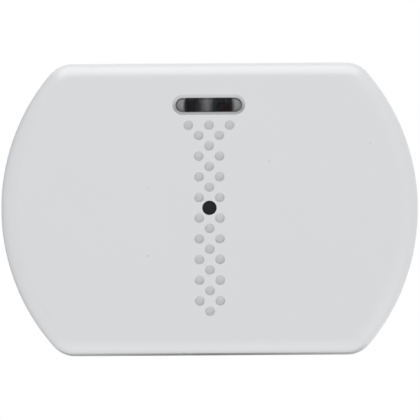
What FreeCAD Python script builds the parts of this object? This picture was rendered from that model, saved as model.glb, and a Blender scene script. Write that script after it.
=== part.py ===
import FreeCAD, Part
import math
import os

# Wireless glass break sensor for a wall, all lengths in millimetres.
# The wall face is on y = 0, the front looks along -Y, Z is up the wall and X runs across it.

V = FreeCAD.Vector
NODES = {}

# Case
HALF_H = 37.65          # half of the height between the flat top and bottom
CORNER_R = 7.5          # round between a side and the top or bottom
DEPTH = 28.0            # wall to front face
BASE_DEPTH = 8.0        # wall to the line where cover and back plate part
WALL = 2.2              # side walls of the cover
FRONT_WALL = 2.4        # front wall of the cover
FLOOR = 2.2             # floor of the back plate
EDGE_R = 4.4            # round along the edge of the front face
TONGUE_T = 1.1          # lip of the back plate that enters the cover
TONGUE_H = 2.0
PART_GAP = 0.12         # line between cover and back plate
SIDE_CLEAR = 0.703      # corners of the cell holder to the round sides
FIT = 0.2               # clearance round pieces that go into each other
SEAT = 0.05             # clearance where one piece rests on another

# Front face
DIMPLE_R = 1.26
DIMPLE_SIDES = 14
DIMPLE_DEPTH = 0.8
DIMPLE_PITCH = 2.68
DIMPLE_FOOT = 10.5      # lowest dimple to the bottom of the case, at least
PORT_R = 1.8            # sound port
WINDOW_DROP = 11.05     # window below the top of the case
WINDOW_CLEAR = 1.0      # window to the highest dimples, at least
WINDOW_W = 17.3         # lens opening
WINDOW_H = 3.7
WINDOW_RING = 0.75      # sloped ring round the lens
WINDOW_RING_DEPTH = 0.7
LENS_SET_BACK = 0.25    # lens face behind the foot of the ring
LENS_FLANGE = 1.6       # flange past the opening, all round
LENS_FLANGE_T = 1.0
RAIL_T = 0.9            # rails inside the cover that hold the flange

# Hooks along the top edge and release slot in the bottom edge
HOOK_X = 24.0
HOOK_W = 9.0
LAND_R = 1.3            # bar of the back plate that a hook turns round
HOOK_REACH = 3.6
HOOK_LIP = 0.8          # top of the hook's lip below the top of the case
HOOK_L = 5.5            # hook in front of the parting line
RELEASE_W = 16.0
RELEASE_H = 3.0
LATCH_W = 12.0
RIB_T = 1.2
STIFFENER_H = 1.5

# Wall fixing
FIX_EDGE = 9.0          # slots in from the widest point
FIX_Z = 4.0
FIX_R = 2.2             # half width of a slot
FIX_SLOT = 4.0          # slot length between its end centres
KNOCKOUT_Z = 19.0
KNOCKOUT_R = 2.4
KNOCKOUT_SKIN = 0.7

# Circuit board
STANDOFF = 4.0
BOARD_T = 1.6
BOARD_HALF_W = 38.0
BOARD_EDGE = 1.4        # clearance to the round sides of the back plate
BOARD_TOP_EDGE = 2.6    # clearance to its top wall
BOARD_GAP = 1.3         # clearance to the cell holder
SCREW_SIDE = 6.5        # screws in from the board's sides
SCREW_EDGE = 4.4        # and from its top edge
BOSS_R = 2.7
PAD_SIZE = 4.0
SCREW_R = 1.2
SCREW_HEAD_R = 2.3
SCREW_HEAD_T = 1.5
SCREW_L = 4.6
SCREW_SIDES = 12        # thread simplified
CLIP_T = 1.0            # spring clips of the back plate
CLIP_W = 5.0
CLIP_CATCH = 0.6
CLIP_NOSE = 1.4

# Cells and their holder
CELL_R = 8.5
CELL_L = 34.5
NUB_R = 3.3
NUB_L = 1.2
HOLDER_FLOOR = 1.2
HOLDER_WALL = 1.5
HOLDER_GAP = 3.4        # holder to the bottom wall of the back plate
HOLDER_RISE = 3.0       # long walls above the cell's axis
HOLDER_CORNER = 1.2
THUMB_R = 7.0           # cut-outs to lift a cell
DIVIDER_T = 2.0
STRIP_T = 0.5           # sheet of the cell contacts
SPRING_H = 1.6          # bow of a spring contact
LEAF_T = 0.3
LEAF_W = 4.0

# Microphone
CAPSULE_R = 4.85
CAPSULE_L = 6.7
BOOT_T = 1.1            # wall of the rubber boot
BOOT_BORE_R = 2.4
BOOT_FACE_T = 0.9
MESH_T = 0.15
MESH_EDGE = 2.2         # mesh past the port

# Lights
BAFFLE_W = 21.0
BAFFLE_H = 7.0
BAFFLE_GAP = 0.6
WELL_H = 4.6
WELL_LEFT_X = -4.8
WELL_LEFT_W = 3.8
WELL_RIGHT_X = 3.8
WELL_RIGHT_W = 5.4
LED_W = 3.2
LED_H = 2.8
LED_T = 1.2
LED_DOME = 2.2
LED_DOME_T = 0.9

# Parts that are pressed or switched
TAMPER_SIDE = 7.0       # in from the board's side
TAMPER_RISE = 13.5      # up from the board's bottom edge
TAMPER_TRAVEL = 1.2
PLUNGER_W = 2.4
PLUNGER_L = 5.0
BUTTON_SIDE = 9.0
BUTTON_RISE = 7.0
BUTTON_R = 1.75
BUTTON_OUT = 1.4
BUTTON_TRAVEL = 0.3
SWITCH_SIZE = 6.0
SWITCH_H = 3.4
SWITCH_LEG = 0.7
DIP_X = 16.0
DIP_RISE = 7.5
DIP_PITCH = 2.54
DIP_W = 9.6
DIP_H = 4.2
SLIDER_SIZE = 1.3
SLIDER_RISE = 0.9
SLIDER_SINK = 1.35      # slider inside the switch
SLIDER_TRAVEL = 2.2

# Parts soldered to the board
CHIP_X = 18.0
CHIP_SIZE = 8.0
CHIP_T = 1.4
AMP_X = 17.5
AMP_RISE = 6.5
AMP_W = 8.6
AMP_H = 3.8
AMP_T = 1.5
PIN_OUT = 0.9
PIN_T = 0.4
CRYSTAL_X = 8.0
CRYSTAL_L = 10.8
CRYSTAL_W = 4.4
CRYSTAL_T = 3.4
CAN_SIDE = 11.5
CAN_DROP = 11.0
CAN_STEP = 8.0
CAN_R = 3.1
CAN_H = 7.0
CAN_FOOT = 6.4
CAN_FOOT_T = 0.9
RADIO_SIDE = 15.0
RADIO_W = 19.0
RADIO_H = 12.0
RADIO_T = 0.8
SHIELD_EDGE = 1.3
SHIELD_T = 2.6
HEADER_X = 8.0
HEADER_PITCH = 2.4
HEADER_W = 2.4
HEADER_T = 2.5
POST_W = 0.64
POST_L = 6.0
ANTENNA_SPAN = 26.0
ANTENNA_H = 4.6
ANTENNA_T = 0.4
ANTENNA_W = 1.4
ANTENNA_BEND = 1.2
ANTENNA_DROP = 1.6      # below the board's top edge
SMALL_L = 1.6           # small resistors and capacitors
SMALL_W = 0.8
RESISTOR_T = 0.5
CAPACITOR_T = 0.8

# Values that follow from the ones above
LIP_T = WALL - TONGUE_T
TONGUE_IN = LIP_T + FIT
BASE_WALL = TONGUE_IN + TONGUE_T
FRONT_Y = -DEPTH
INSIDE_Y = FRONT_WALL - DEPTH
PART_Y = -BASE_DEPTH
MOUTH_Y = PART_Y - PART_GAP
FLOOR_Y = -FLOOR
BOARD_BACK = FLOOR_Y - STANDOFF
BOARD_Y = BOARD_BACK - BOARD_T
CELL_Y = FLOOR_Y - SEAT - HOLDER_FLOOR - FIT - CELL_R
HOLDER_LOW = BASE_WALL + HOLDER_GAP - HALF_H
CELL_Z = HOLDER_LOW + HOLDER_WALL + FIT + CELL_R
HOLDER_TOP = CELL_Z + CELL_R + FIT + HOLDER_WALL
BAY_START = DIVIDER_T / 2
BAY_END = BAY_START + STRIP_T + SPRING_H + CELL_L + STRIP_T + 2 * SEAT
HOLDER_HALF_L = BAY_END + HOLDER_WALL
DIVIDER_Y = CELL_Y - CELL_R * 0.7
SIDE_R = BASE_WALL + SIDE_CLEAR + math.hypot(HOLDER_HALF_L, HOLDER_LOW)
FIX_X = SIDE_R - FIX_EDGE
BOARD_LOW = HOLDER_TOP + BOARD_GAP
BOARD_TOP = HALF_H - BASE_WALL - BOARD_TOP_EDGE
SCREW_X = BOARD_HALF_W - SCREW_SIDE
SCREW_Z = BOARD_TOP - SCREW_EDGE
WINDOW_Z = HALF_H - WINDOW_DROP
LENS_Y = FRONT_Y + WINDOW_RING_DEPTH + LENS_SET_BACK
FLANGE_Y = INSIDE_Y + SEAT + LENS_FLANGE_T
MESH_Y = INSIDE_Y + SEAT / 2
BOOT_Y = MESH_Y + MESH_T + 2 * SEAT
BOOT_R = CAPSULE_R + SEAT + BOOT_T
WELLS = [(WELL_LEFT_X, WELL_LEFT_W), (WELL_RIGHT_X, WELL_RIGHT_W)]
TAMPER_X = TAMPER_SIDE - BOARD_HALF_W
TAMPER_Z = BOARD_LOW + TAMPER_RISE
TAMPER_TIP_Y = BOARD_Y - SWITCH_H - PLUNGER_L
BUTTON_X = BOARD_HALF_W - BUTTON_SIDE
BUTTON_Z = BOARD_LOW + BUTTON_RISE
DIP_Z = BOARD_LOW + DIP_RISE
DIP_HALF_H = 2 * DIP_PITCH + 0.7
AMP_Z = BOARD_LOW + AMP_RISE
CAN_X = CAN_SIDE - BOARD_HALF_W
CAN_Z = BOARD_TOP - CAN_DROP
CHIP_Z = (AMP_Z + AMP_H / 2 + PIN_OUT + CAN_Z - CAN_FOOT / 2) / 2
MIDDLE_Z = (BOOT_R + WINDOW_Z - BAFFLE_H / 2) / 2
RADIO_X = BOARD_HALF_W - RADIO_SIDE
RADIO_Z = (DIP_Z + DIP_HALF_H + WINDOW_Z - BAFFLE_H / 2) / 2
ANTENNA_Z = BOARD_TOP - ANTENNA_DROP


# Shapes

def box(x0, x1, y0, y1, z0, z1):
    low = V(min(x0, x1), min(y0, y1), min(z0, z1))
    return Part.makeBox(abs(x1 - x0), abs(y1 - y0), abs(z1 - z0), low)


def rod(x, z, r, y0, y1):
    # round bar along Y
    return Part.makeCylinder(r, abs(y1 - y0), V(x, min(y0, y1), z), V(0, 1, 0))


def bar(y, z, r, x0, x1):
    # round bar along X
    return Part.makeCylinder(r, abs(x1 - x0), V(min(x0, x1), y, z), V(1, 0, 0))


def case_wire(inset, y):
    # flat top and bottom, round sides on one circle, round corners; moved in by inset
    zc = HALF_H - CORNER_R
    xc = math.sqrt((SIDE_R - CORNER_R) ** 2 - zc ** 2)
    turn = math.atan2(zc, xc)
    mid = (turn + math.pi / 2) / 2
    r = CORNER_R - inset
    side = SIDE_R - inset
    flat = HALF_H - inset

    def at(x, z):
        return V(x, y, z)

    def corner(sx, sz):
        near = at(sx * side * math.cos(turn), sz * side * math.sin(turn))
        middle = at(sx * (xc + r * math.cos(mid)), sz * (zc + r * math.sin(mid)))
        return Part.Arc(near, middle, at(sx * xc, sz * flat)).toShape()

    def flank(sx, sz):
        half = sz * turn / 2
        end = at(sx * side * math.cos(turn), sz * side * math.sin(turn))
        middle = at(sx * side * math.cos(half), side * math.sin(half))
        return Part.Arc(at(sx * side, 0), middle, end).toShape()

    top = Part.LineSegment(at(xc, flat), at(-xc, flat)).toShape()
    bottom = Part.LineSegment(at(-xc, -flat), at(xc, -flat)).toShape()
    return Part.Wire([flank(1, 1), corner(1, 1), top, corner(-1, 1), flank(-1, 1),
                      flank(-1, -1), corner(-1, -1), bottom, corner(1, -1), flank(1, -1)])


def case_block(inset, y0, y1):
    return Part.Face(case_wire(inset, y0)).extrude(V(0, y1 - y0, 0))


def edges_at(shape, y):
    # the edges that lie in the plane at y
    return [e for e in shape.Edges
            if abs(e.BoundBox.YMin - y) < 1e-4 and abs(e.BoundBox.YMax - y) < 1e-4]


def upright_edges(shape, length):
    # the edges along Y that are at least this long
    return [e for e in shape.Edges if e.BoundBox.YLength > length]


def pill_wire(width, height, x, z, y):
    # upright ends are half circles
    r = height / 2
    h = width / 2 - r
    top = Part.LineSegment(V(x - h, y, z + r), V(x + h, y, z + r)).toShape()
    right = Part.Arc(V(x + h, y, z + r), V(x + h + r, y, z), V(x + h, y, z - r)).toShape()
    bottom = Part.LineSegment(V(x + h, y, z - r), V(x - h, y, z - r)).toShape()
    left = Part.Arc(V(x - h, y, z - r), V(x - h - r, y, z), V(x - h, y, z + r)).toShape()
    return Part.Wire([top, right, bottom, left])


def pill(width, height, x, z, y0, y1):
    return Part.Face(pill_wire(width, height, x, z, y0)).extrude(V(0, y1 - y0, 0))


def prism(x, z, r, sides, y0, y1):
    # upright bar with a regular outline inside the circle r
    turns = [2 * math.pi * (i + 0.5) / sides for i in range(sides)]
    points = [V(x + r * math.cos(a), y0, z + r * math.sin(a)) for a in turns]
    return Part.Face(Part.makePolygon(points + points[:1])).extrude(V(0, y1 - y0, 0))


def turned(points, x, z):
    # solid of revolution about the line along Y through x, z; points are radius, y
    outline = Part.makePolygon([V(x + r, y, z) for r, y in points + points[:1]])
    return Part.Face(outline).revolve(V(x, 0, z), V(0, 1, 0), 360)


def turned_x(points, y, z):
    # solid of revolution about the line along X through y, z; points are x, radius
    outline = Part.makePolygon([V(x, y, z + r) for x, r in points + points[:1]])
    return Part.Face(outline).revolve(V(0, y, z), V(1, 0, 0), 360)


def sheet_profile(points, z0, z1):
    # outline in x and y, given a thickness along Z
    outline = Part.makePolygon([V(x, y, z0) for x, y in points + points[:1]])
    return Part.Face(outline).extrude(V(0, 0, z1 - z0))


def side_profile(points, x0, x1):
    # outline in y and z, given a thickness along X
    outline = Part.makePolygon([V(x0, y, z) for y, z in points + points[:1]])
    return Part.Face(outline).extrude(V(x1 - x0, 0, 0))


def block(x, z, w, h, y0, y1):
    # upright box by its centre across the wall
    return box(x - w / 2, x + w / 2, y0, y1, z - h / 2, z + h / 2)


def fuse(shapes):
    whole = shapes[0].multiFuse(shapes[1:]) if len(shapes) > 1 else shapes[0]
    return whole.removeSplitter()


def cut(shape, tools):
    return shape.cut(Part.makeCompound(tools))


def keep(name, shape):
    NODES[name] = shape


# Cover

def dimple_places():
    # lattice through the sound port, up to the window and down to the foot
    lowest_edge = WINDOW_Z - WINDOW_H / 2 - WINDOW_RING
    up = int((lowest_edge - DIMPLE_R - WINDOW_CLEAR) / DIMPLE_PITCH)
    down = int((HALF_H - DIMPLE_FOOT) / DIMPLE_PITCH)
    places = []
    for row in range(-down, up + 1):
        steps = (-1, 1) if row % 2 else (0,)
        if row == up:
            steps = (-3, -1, 1, 3) if row % 2 else (-2, 0, 2)
        if row:
            places += [(step * DIMPLE_PITCH, row * DIMPLE_PITCH) for step in steps]
    return places


def cover_shell():
    outer = case_block(0, MOUTH_Y, FRONT_Y)
    outer = outer.makeFillet(EDGE_R, edges_at(outer, FRONT_Y))
    inner = case_block(WALL, MOUTH_Y, INSIDE_Y)
    inner = inner.makeChamfer(EDGE_R - WALL, edges_at(inner, INSIDE_Y))
    rabbet = case_block(LIP_T, MOUTH_Y, PART_Y - TONGUE_H - FIT)
    return outer.cut(inner).cut(rabbet)


def hook(x):
    # arm under the top wall that turns up behind the bar of the back plate
    x0 = x - HOOK_W / 2
    x1 = x + HOOK_W / 2
    clear_r = LAND_R + FIT
    front = PART_Y - HOOK_L
    arm = box(x0, x1, PART_Y + HOOK_REACH, front, HALF_H - clear_r, HALF_H - HOOK_REACH)
    lip = box(x0, x1, PART_Y + HOOK_REACH, PART_Y + clear_r / 2,
              HALF_H - HOOK_LIP, HALF_H - clear_r)
    root = box(x0, x1, MOUTH_Y, front, HALF_H - LIP_T, HALF_H - clear_r)
    reach = fuse([bar(PART_Y, HALF_H, HOOK_REACH, x0, x1),
                  box(x0, x1, PART_Y, front, HALF_H, HALF_H - HOOK_REACH)])
    whole = fuse([arm, lip, root]).common(reach)
    return whole.cut(bar(PART_Y, HALF_H, clear_r, x0, x1))


def cell_rib(x):
    # keeps a cell from rising out of its bay
    return box(x, x + RIB_T, INSIDE_Y - 0.5, CELL_Y - CELL_R - 2 * FIT,
               CELL_Z - CELL_R / 2, CELL_Z + CELL_R / 2)


def tamper_post():
    # crossed ribs that hold the plunger in while the cover is shut
    tip = TAMPER_TIP_Y - SEAT
    arm = PLUNGER_W + 2 * RIB_T
    return [block(TAMPER_X, TAMPER_Z, arm, RIB_T, INSIDE_Y - 0.5, tip),
            block(TAMPER_X, TAMPER_Z, RIB_T, arm, INSIDE_Y - 0.5, tip)]


def window_rails():
    # hold the flange of the window from above and below
    half = WINDOW_H / 2 + LENS_FLANGE + FIT
    width = WINDOW_W + 2 * LENS_FLANGE
    return [block(0, WINDOW_Z + s * (half + RAIL_T / 2), width, RAIL_T,
                  INSIDE_Y - 0.5, FLANGE_Y) for s in (-1, 1)]


def front_cover():
    extras = [hook(-HOOK_X), hook(HOOK_X)] + tamper_post() + window_rails()
    for x in (CELL_L * 0.3, CELL_L * 0.8):
        extras += [cell_rib(x), cell_rib(-x - RIB_T)]
    for x in (HOOK_X - HOOK_W / 2, HOOK_X + HOOK_W):
        for s in (-1, 1):
            extras.append(box(s * x, s * (x + RIB_T), INSIDE_Y - 0.5, INSIDE_Y + STIFFENER_H,
                              BOARD_LOW, WINDOW_Z))
    body = cover_shell().multiFuse(extras)
    cuts = [prism(x, z, DIMPLE_R, DIMPLE_SIDES, FRONT_Y - 1, FRONT_Y + DIMPLE_DEPTH)
            for x, z in dimple_places()]
    cuts.append(rod(0, 0, PORT_R, FRONT_Y - 1, INSIDE_Y + 0.5))
    ring = [pill_wire(WINDOW_W + 2 * WINDOW_RING, WINDOW_H + 2 * WINDOW_RING,
                      0, WINDOW_Z, FRONT_Y),
            pill_wire(WINDOW_W, WINDOW_H, 0, WINDOW_Z, FRONT_Y + WINDOW_RING_DEPTH)]
    cuts.append(Part.makeLoft(ring, True, True))
    cuts.append(pill(WINDOW_W, WINDOW_H, 0, WINDOW_Z, FRONT_Y + WINDOW_RING_DEPTH / 2,
                     INSIDE_Y + 0.5))
    cuts.append(box(-RELEASE_W / 2, RELEASE_W / 2, MOUTH_Y + 1, MOUTH_Y - RELEASE_H,
                    -HALF_H - 1, -HALF_H + WALL + 1))
    return cut(body, cuts).removeSplitter()


def led_window():
    face = pill(WINDOW_W - FIT, WINDOW_H - FIT, 0, WINDOW_Z, LENS_Y, FLANGE_Y)
    flange = block(0, WINDOW_Z, WINDOW_W + 2 * LENS_FLANGE, WINDOW_H + 2 * LENS_FLANGE,
                   INSIDE_Y + SEAT, FLANGE_Y)
    return fuse([face, flange])


def port_mesh():
    side = 2 * (PORT_R + MESH_EDGE)
    return block(0, 0, side, side, MESH_Y, MESH_Y + MESH_T)


# Back plate

def clip(x, z0, s, top):
    # spring clip with its face at z0; its nose points towards s and holds what ends at top
    foot = FLOOR_Y + 0.5
    return side_profile([(foot, z0), (foot, z0 - s * CLIP_T), (top - CLIP_NOSE, z0 - s * CLIP_T),
                         (top - CLIP_NOSE, z0 - s * CLIP_T / 2),
                         (top - CLIP_NOSE / 4, z0 + s * CLIP_CATCH),
                         (top - SEAT, z0 + s * CLIP_CATCH), (top - SEAT, z0)],
                        x - CLIP_W / 2, x + CLIP_W / 2)


def hook_room(x):
    # opening in the top wall, round the quarter-round bar that the hook turns on
    x0 = x - HOOK_W / 2 - FIT
    x1 = x + HOOK_W / 2 + FIT
    room = box(x0, x1, PART_Y - TONGUE_H - 1, PART_Y + HOOK_REACH + FIT,
               HALF_H + 1, HALF_H - HOOK_REACH - 1)
    return room.cut(bar(PART_Y, HALF_H, LAND_R, x0, x1))


def back_plate():
    tray = case_block(0, 0, PART_Y)
    tray = tray.cut(case_block(BASE_WALL, FLOOR_Y, PART_Y - 1))
    tongue = case_block(TONGUE_IN, PART_Y + 0.5, PART_Y - TONGUE_H)
    tongue = tongue.cut(case_block(BASE_WALL, PART_Y + 1, PART_Y - TONGUE_H - 1))
    extras = [tongue]
    for s in (-1, 1):
        extras.append(rod(s * SCREW_X, SCREW_Z, BOSS_R, FLOOR_Y + 0.5, BOARD_BACK))
        extras.append(block(s * (BOARD_HALF_W - PAD_SIZE), BOARD_LOW + PAD_SIZE,
                            PAD_SIZE, PAD_SIZE, FLOOR_Y + 0.5, BOARD_BACK))
        extras.append(clip(s * (BAY_END - THUMB_R), BOARD_LOW - SEAT, 1, BOARD_Y))
        extras.append(clip(s * (BAY_END - THUMB_R), HOLDER_LOW - SEAT, 1, CELL_Y - HOLDER_RISE))
        extras.append(clip(s * THUMB_R, HOLDER_TOP + SEAT, -1, CELL_Y - HOLDER_RISE))
    for x in (-HOOK_X, 0, HOOK_X):
        extras.append(block(x, (BOARD_LOW + BOARD_TOP) / 2, RIB_T, BOARD_TOP - BOARD_LOW - RIB_T,
                            FLOOR_Y + 0.5, FLOOR_Y - STIFFENER_H))
    extras.append(box(-LATCH_W / 2, LATCH_W / 2, PART_Y + 2.0, PART_Y - RELEASE_H + 0.5,
                      -HALF_H + 0.15, -HALF_H + BASE_WALL))
    whole = tray.multiFuse(extras)
    cuts = [hook_room(-HOOK_X), hook_room(HOOK_X)]
    for s in (-1, 1):
        cuts.append(pill(FIX_SLOT + 2 * FIX_R, 2 * FIX_R, s * FIX_X, FIX_Z, 1, FLOOR_Y - 1))
        cuts.append(prism(s * SCREW_X, SCREW_Z, SCREW_R + SEAT, SCREW_SIDES, BOARD_BACK - 1,
                          BOARD_BACK + SCREW_L - BOARD_T + 0.6))
        cuts.append(rod(0, s * KNOCKOUT_Z, KNOCKOUT_R, 1, KNOCKOUT_SKIN - FLOOR))
        x = s * (LATCH_W / 2 + 0.8)
        cuts.append(box(x - 0.5, x + 0.5, FLOOR_Y - 0.6, PART_Y - TONGUE_H - 1,
                        -HALF_H - 1, -HALF_H + BASE_WALL + 0.5))
    return cut(whole, cuts).removeSplitter()


# Circuit board and what is soldered to it

def circuit_board():
    whole = case_block(BASE_WALL + BOARD_EDGE, BOARD_BACK, BOARD_Y)
    whole = whole.common(box(-BOARD_HALF_W, BOARD_HALF_W, 0, 2 * BOARD_Y, BOARD_LOW, BOARD_TOP))
    return cut(whole, [prism(s * SCREW_X, SCREW_Z, SCREW_R + FIT, SCREW_SIDES, 0, 2 * BOARD_Y)
                       for s in (-1, 1)])


def pan_screw(x):
    head = rod(x, SCREW_Z, SCREW_HEAD_R, BOARD_Y - SCREW_HEAD_T, BOARD_Y)
    shank = prism(x, SCREW_Z, SCREW_R, SCREW_SIDES, BOARD_Y - SCREW_HEAD_T / 2, BOARD_Y + SCREW_L)
    slot = block(x, SCREW_Z, SCREW_HEAD_R, SCREW_R / 2, BOARD_Y - SCREW_HEAD_T - 1,
                 BOARD_Y - SCREW_HEAD_T / 2)
    return fuse([head, shank]).cut(slot)


def chip(x, z, w, h, t, pins):
    # moulded package with a row of pins along its top and its bottom
    parts = [block(x, z, w, h, BOARD_Y - 0.1, BOARD_Y - t)]
    pitch = w / pins
    for i in range(pins):
        px = x + (i - (pins - 1) / 2) * pitch
        parts.append(block(px, z, pitch / 2, h + 2 * PIN_OUT, BOARD_Y, BOARD_Y - PIN_T))
    return fuse(parts)


def mic_boot():
    # rubber sleeve from the board to the port, with a lip in front of the capsule
    bore = CAPSULE_R + SEAT
    lip = BOOT_Y + BOOT_FACE_T
    return turned([(bore, BOARD_Y), (BOOT_R, BOARD_Y), (BOOT_R, BOOT_Y), (BOOT_BORE_R, BOOT_Y),
                   (BOOT_BORE_R, lip), (bore, lip)], 0, 0)


def mic_capsule():
    front = BOOT_Y + BOOT_FACE_T + SEAT
    back = front + CAPSULE_L
    can = rod(0, 0, CAPSULE_R, front, back)
    leads = [block(s * CAPSULE_R / 4, 0, 0.5, 0.5, back - 0.1, BOARD_Y) for s in (-1, 1)]
    return fuse([can] + leads)


def led_baffle():
    front = FLANGE_Y + BAFFLE_GAP
    whole = block(0, WINDOW_Z, BAFFLE_W, BAFFLE_H, BOARD_Y, front)
    whole = whole.makeChamfer(BAFFLE_H / 5, upright_edges(whole, 5))
    return cut(whole, [block(x, WINDOW_Z, w, WELL_H, BOARD_Y + 1, front - 1) for x, w in WELLS])


def led(x):
    # frame with a clear block on it
    top = BOARD_Y - LED_T - LED_DOME_T
    dome = block(x, WINDOW_Z, LED_DOME, LED_DOME, BOARD_Y - LED_T / 2, top)
    dome = dome.makeChamfer(LED_DOME_T / 3, edges_at(dome, top))
    return fuse([block(x, WINDOW_Z, LED_W, LED_H, BOARD_Y, BOARD_Y - LED_T), dome])


def radio_board():
    return block(RADIO_X, RADIO_Z, RADIO_W, RADIO_H, BOARD_Y, BOARD_Y - RADIO_T)


def radio_shield():
    foot = BOARD_Y - RADIO_T
    w = RADIO_W - 2 * SHIELD_EDGE
    h = RADIO_H - 2 * SHIELD_EDGE
    can = block(RADIO_X, RADIO_Z, w, h, foot, foot - SHIELD_T)
    can = can.makeChamfer(SHIELD_T / 6, edges_at(can, foot - SHIELD_T))
    return can.cut(block(RADIO_X, RADIO_Z, w - 0.6, h - 0.6, foot + 1, foot - SHIELD_T + 0.5))


def antenna():
    # bent strip that stands on two feet along the top edge of the board
    s = ANTENNA_SPAN
    b = ANTENNA_BEND
    t = ANTENNA_T
    y0 = BOARD_Y
    y1 = BOARD_Y - ANTENNA_H
    half = [(s, y0), (s, y1 + b), (s - b, y1)]
    inner = [(s - b - t / 2, y1 + t), (s - t, y1 + b + t / 2), (s - t, y0)]
    points = half + [(-x, y) for x, y in reversed(half)]
    points += [(-x, y) for x, y in reversed(inner)] + inner
    return sheet_profile(points, ANTENNA_Z - ANTENNA_W / 2, ANTENNA_Z + ANTENNA_W / 2)


def crystal():
    can = pill(CRYSTAL_L, CRYSTAL_W, 0, 0, BOARD_Y, BOARD_Y - CRYSTAL_T)
    can.rotate(V(0, 0, 0), V(0, 1, 0), 90)
    can.translate(V(-CRYSTAL_X, 0, MIDDLE_Z))
    return can


def electrolytic(x):
    foot = block(x, CAN_Z, CAN_FOOT, CAN_FOOT, BOARD_Y, BOARD_Y - CAN_FOOT_T)
    return fuse([foot, rod(x, CAN_Z, CAN_R, BOARD_Y - CAN_FOOT_T / 2, BOARD_Y - CAN_H)])


def small_parts(places, t):
    return Part.makeCompound([block(x, z, w, h, BOARD_Y, BOARD_Y - t) for x, z, w, h in places])


def resistor_places():
    beside_chip = CHIP_X - CHIP_SIZE / 2 - SMALL_L
    near_tamper = CHIP_X + CHIP_SIZE / 2 + SMALL_L
    flat = [(-beside_chip, CHIP_Z + 2 * SMALL_L * i) for i in (-1, 0, 1)]
    flat += [(-near_tamper, CHIP_Z + SMALL_L * i) for i in (0, 2)]
    flat += [(-CRYSTAL_X - SMALL_L, AMP_Z + 2 * SMALL_L * i) for i in (0, 1)]
    flat += [(RADIO_X + 2 * SMALL_L * i, RADIO_Z - RADIO_H / 2 - SMALL_L) for i in (1, 2)]
    return [(x, z, SMALL_L, SMALL_W) for x, z in flat]


def capacitor_places():
    beside_chip = CHIP_X - CHIP_SIZE / 2 - SMALL_L
    flat = [(-beside_chip, CHIP_Z + SMALL_L * i) for i in (-1, 1)]
    flat += [(-CRYSTAL_X - SMALL_L, AMP_Z + SMALL_L)]
    flat += [(RADIO_X + 2.5 * SMALL_L * i, RADIO_Z + RADIO_H / 2 + SMALL_L) for i in (-2, -1, 0, 1)]
    flat += [(BUTTON_X - SMALL_L, BUTTON_Z - SWITCH_SIZE / 2 - SMALL_L)]
    return [(x, z, SMALL_L, SMALL_W) for x, z in flat]


def header_body():
    return block(HEADER_X, MIDDLE_Z, HEADER_W, 5 * HEADER_PITCH, BOARD_Y, BOARD_Y - HEADER_T)


def header_pins():
    return Part.makeCompound([block(HEADER_X, MIDDLE_Z + i * HEADER_PITCH, POST_W, POST_W,
                                    BOARD_Y - HEADER_T, BOARD_Y - HEADER_T - POST_L)
                              for i in (-2, -1, 0, 1, 2)])


# Switches

def switch_body(x, z):
    body = block(x, z, SWITCH_SIZE, SWITCH_SIZE, BOARD_Y, BOARD_Y - SWITCH_H)
    body = body.makeChamfer(SWITCH_SIZE / 12, upright_edges(body, SWITCH_H / 2))
    legs = [block(x, z + s * SWITCH_SIZE / 4, SWITCH_SIZE + 2 * SWITCH_LEG, SWITCH_LEG,
                  BOARD_Y, BOARD_Y - PIN_T) for s in (-1, 1)]
    return fuse([body] + legs)


def tamper_switch_body():
    w = PLUNGER_W + 2 * SEAT
    return switch_body(TAMPER_X, TAMPER_Z).cut(
        block(TAMPER_X, TAMPER_Z, w, w, BOARD_Y - PIN_T, BOARD_Y - SWITCH_H - 1))


def tamper_plunger():
    # held in at rest by the post of the cover
    tip = block(TAMPER_X, TAMPER_Z, PLUNGER_W, PLUNGER_W,
                TAMPER_TIP_Y + PLUNGER_L + SWITCH_H - 2 * PIN_T, TAMPER_TIP_Y)
    return tip.makeChamfer(PLUNGER_W / 8, edges_at(tip, TAMPER_TIP_Y))


def learn_button_body():
    return switch_body(BUTTON_X, BUTTON_Z).cut(
        rod(BUTTON_X, BUTTON_Z, BUTTON_R + SEAT, BOARD_Y - PIN_T, BOARD_Y - SWITCH_H - 1))


def learn_button_cap():
    return rod(BUTTON_X, BUTTON_Z, BUTTON_R, BOARD_Y - 2 * PIN_T - BUTTON_TRAVEL,
               BOARD_Y - SWITCH_H - BUTTON_OUT)


def slider_rows():
    return [DIP_Z + i * DIP_PITCH for i in (1.5, 0.5, -0.5, -1.5)]


def dip_switch_body():
    body = block(DIP_X, DIP_Z, DIP_W, 2 * DIP_HALF_H, BOARD_Y, BOARD_Y - DIP_H)
    floor = BOARD_Y - DIP_H + SLIDER_SINK + SEAT
    return cut(body, [block(DIP_X, z, SLIDER_SIZE + SLIDER_TRAVEL + 2 * FIT,
                            SLIDER_SIZE + 3 * SEAT, floor, BOARD_Y - DIP_H - 1)
                      for z in slider_rows()])


def dip_slider(z):
    top = BOARD_Y - DIP_H - SLIDER_RISE
    body = block(DIP_X - SLIDER_TRAVEL / 2, z, SLIDER_SIZE, SLIDER_SIZE,
                 BOARD_Y - DIP_H + SLIDER_SINK, top)
    return body.makeChamfer(SLIDER_SIZE / 5, edges_at(body, top))


# Cells

def thumb_notch(x):
    # lets a thumb under the side of a cell
    top = CELL_Y - HOLDER_RISE
    outline = [(x - THUMB_R, top - 1), (x - THUMB_R, top), (x - THUMB_R / 2, top + THUMB_R),
               (x + THUMB_R / 2, top + THUMB_R), (x + THUMB_R, top), (x + THUMB_R, top - 1)]
    return sheet_profile(outline, HOLDER_LOW - 1, HOLDER_TOP + 1)


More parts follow.
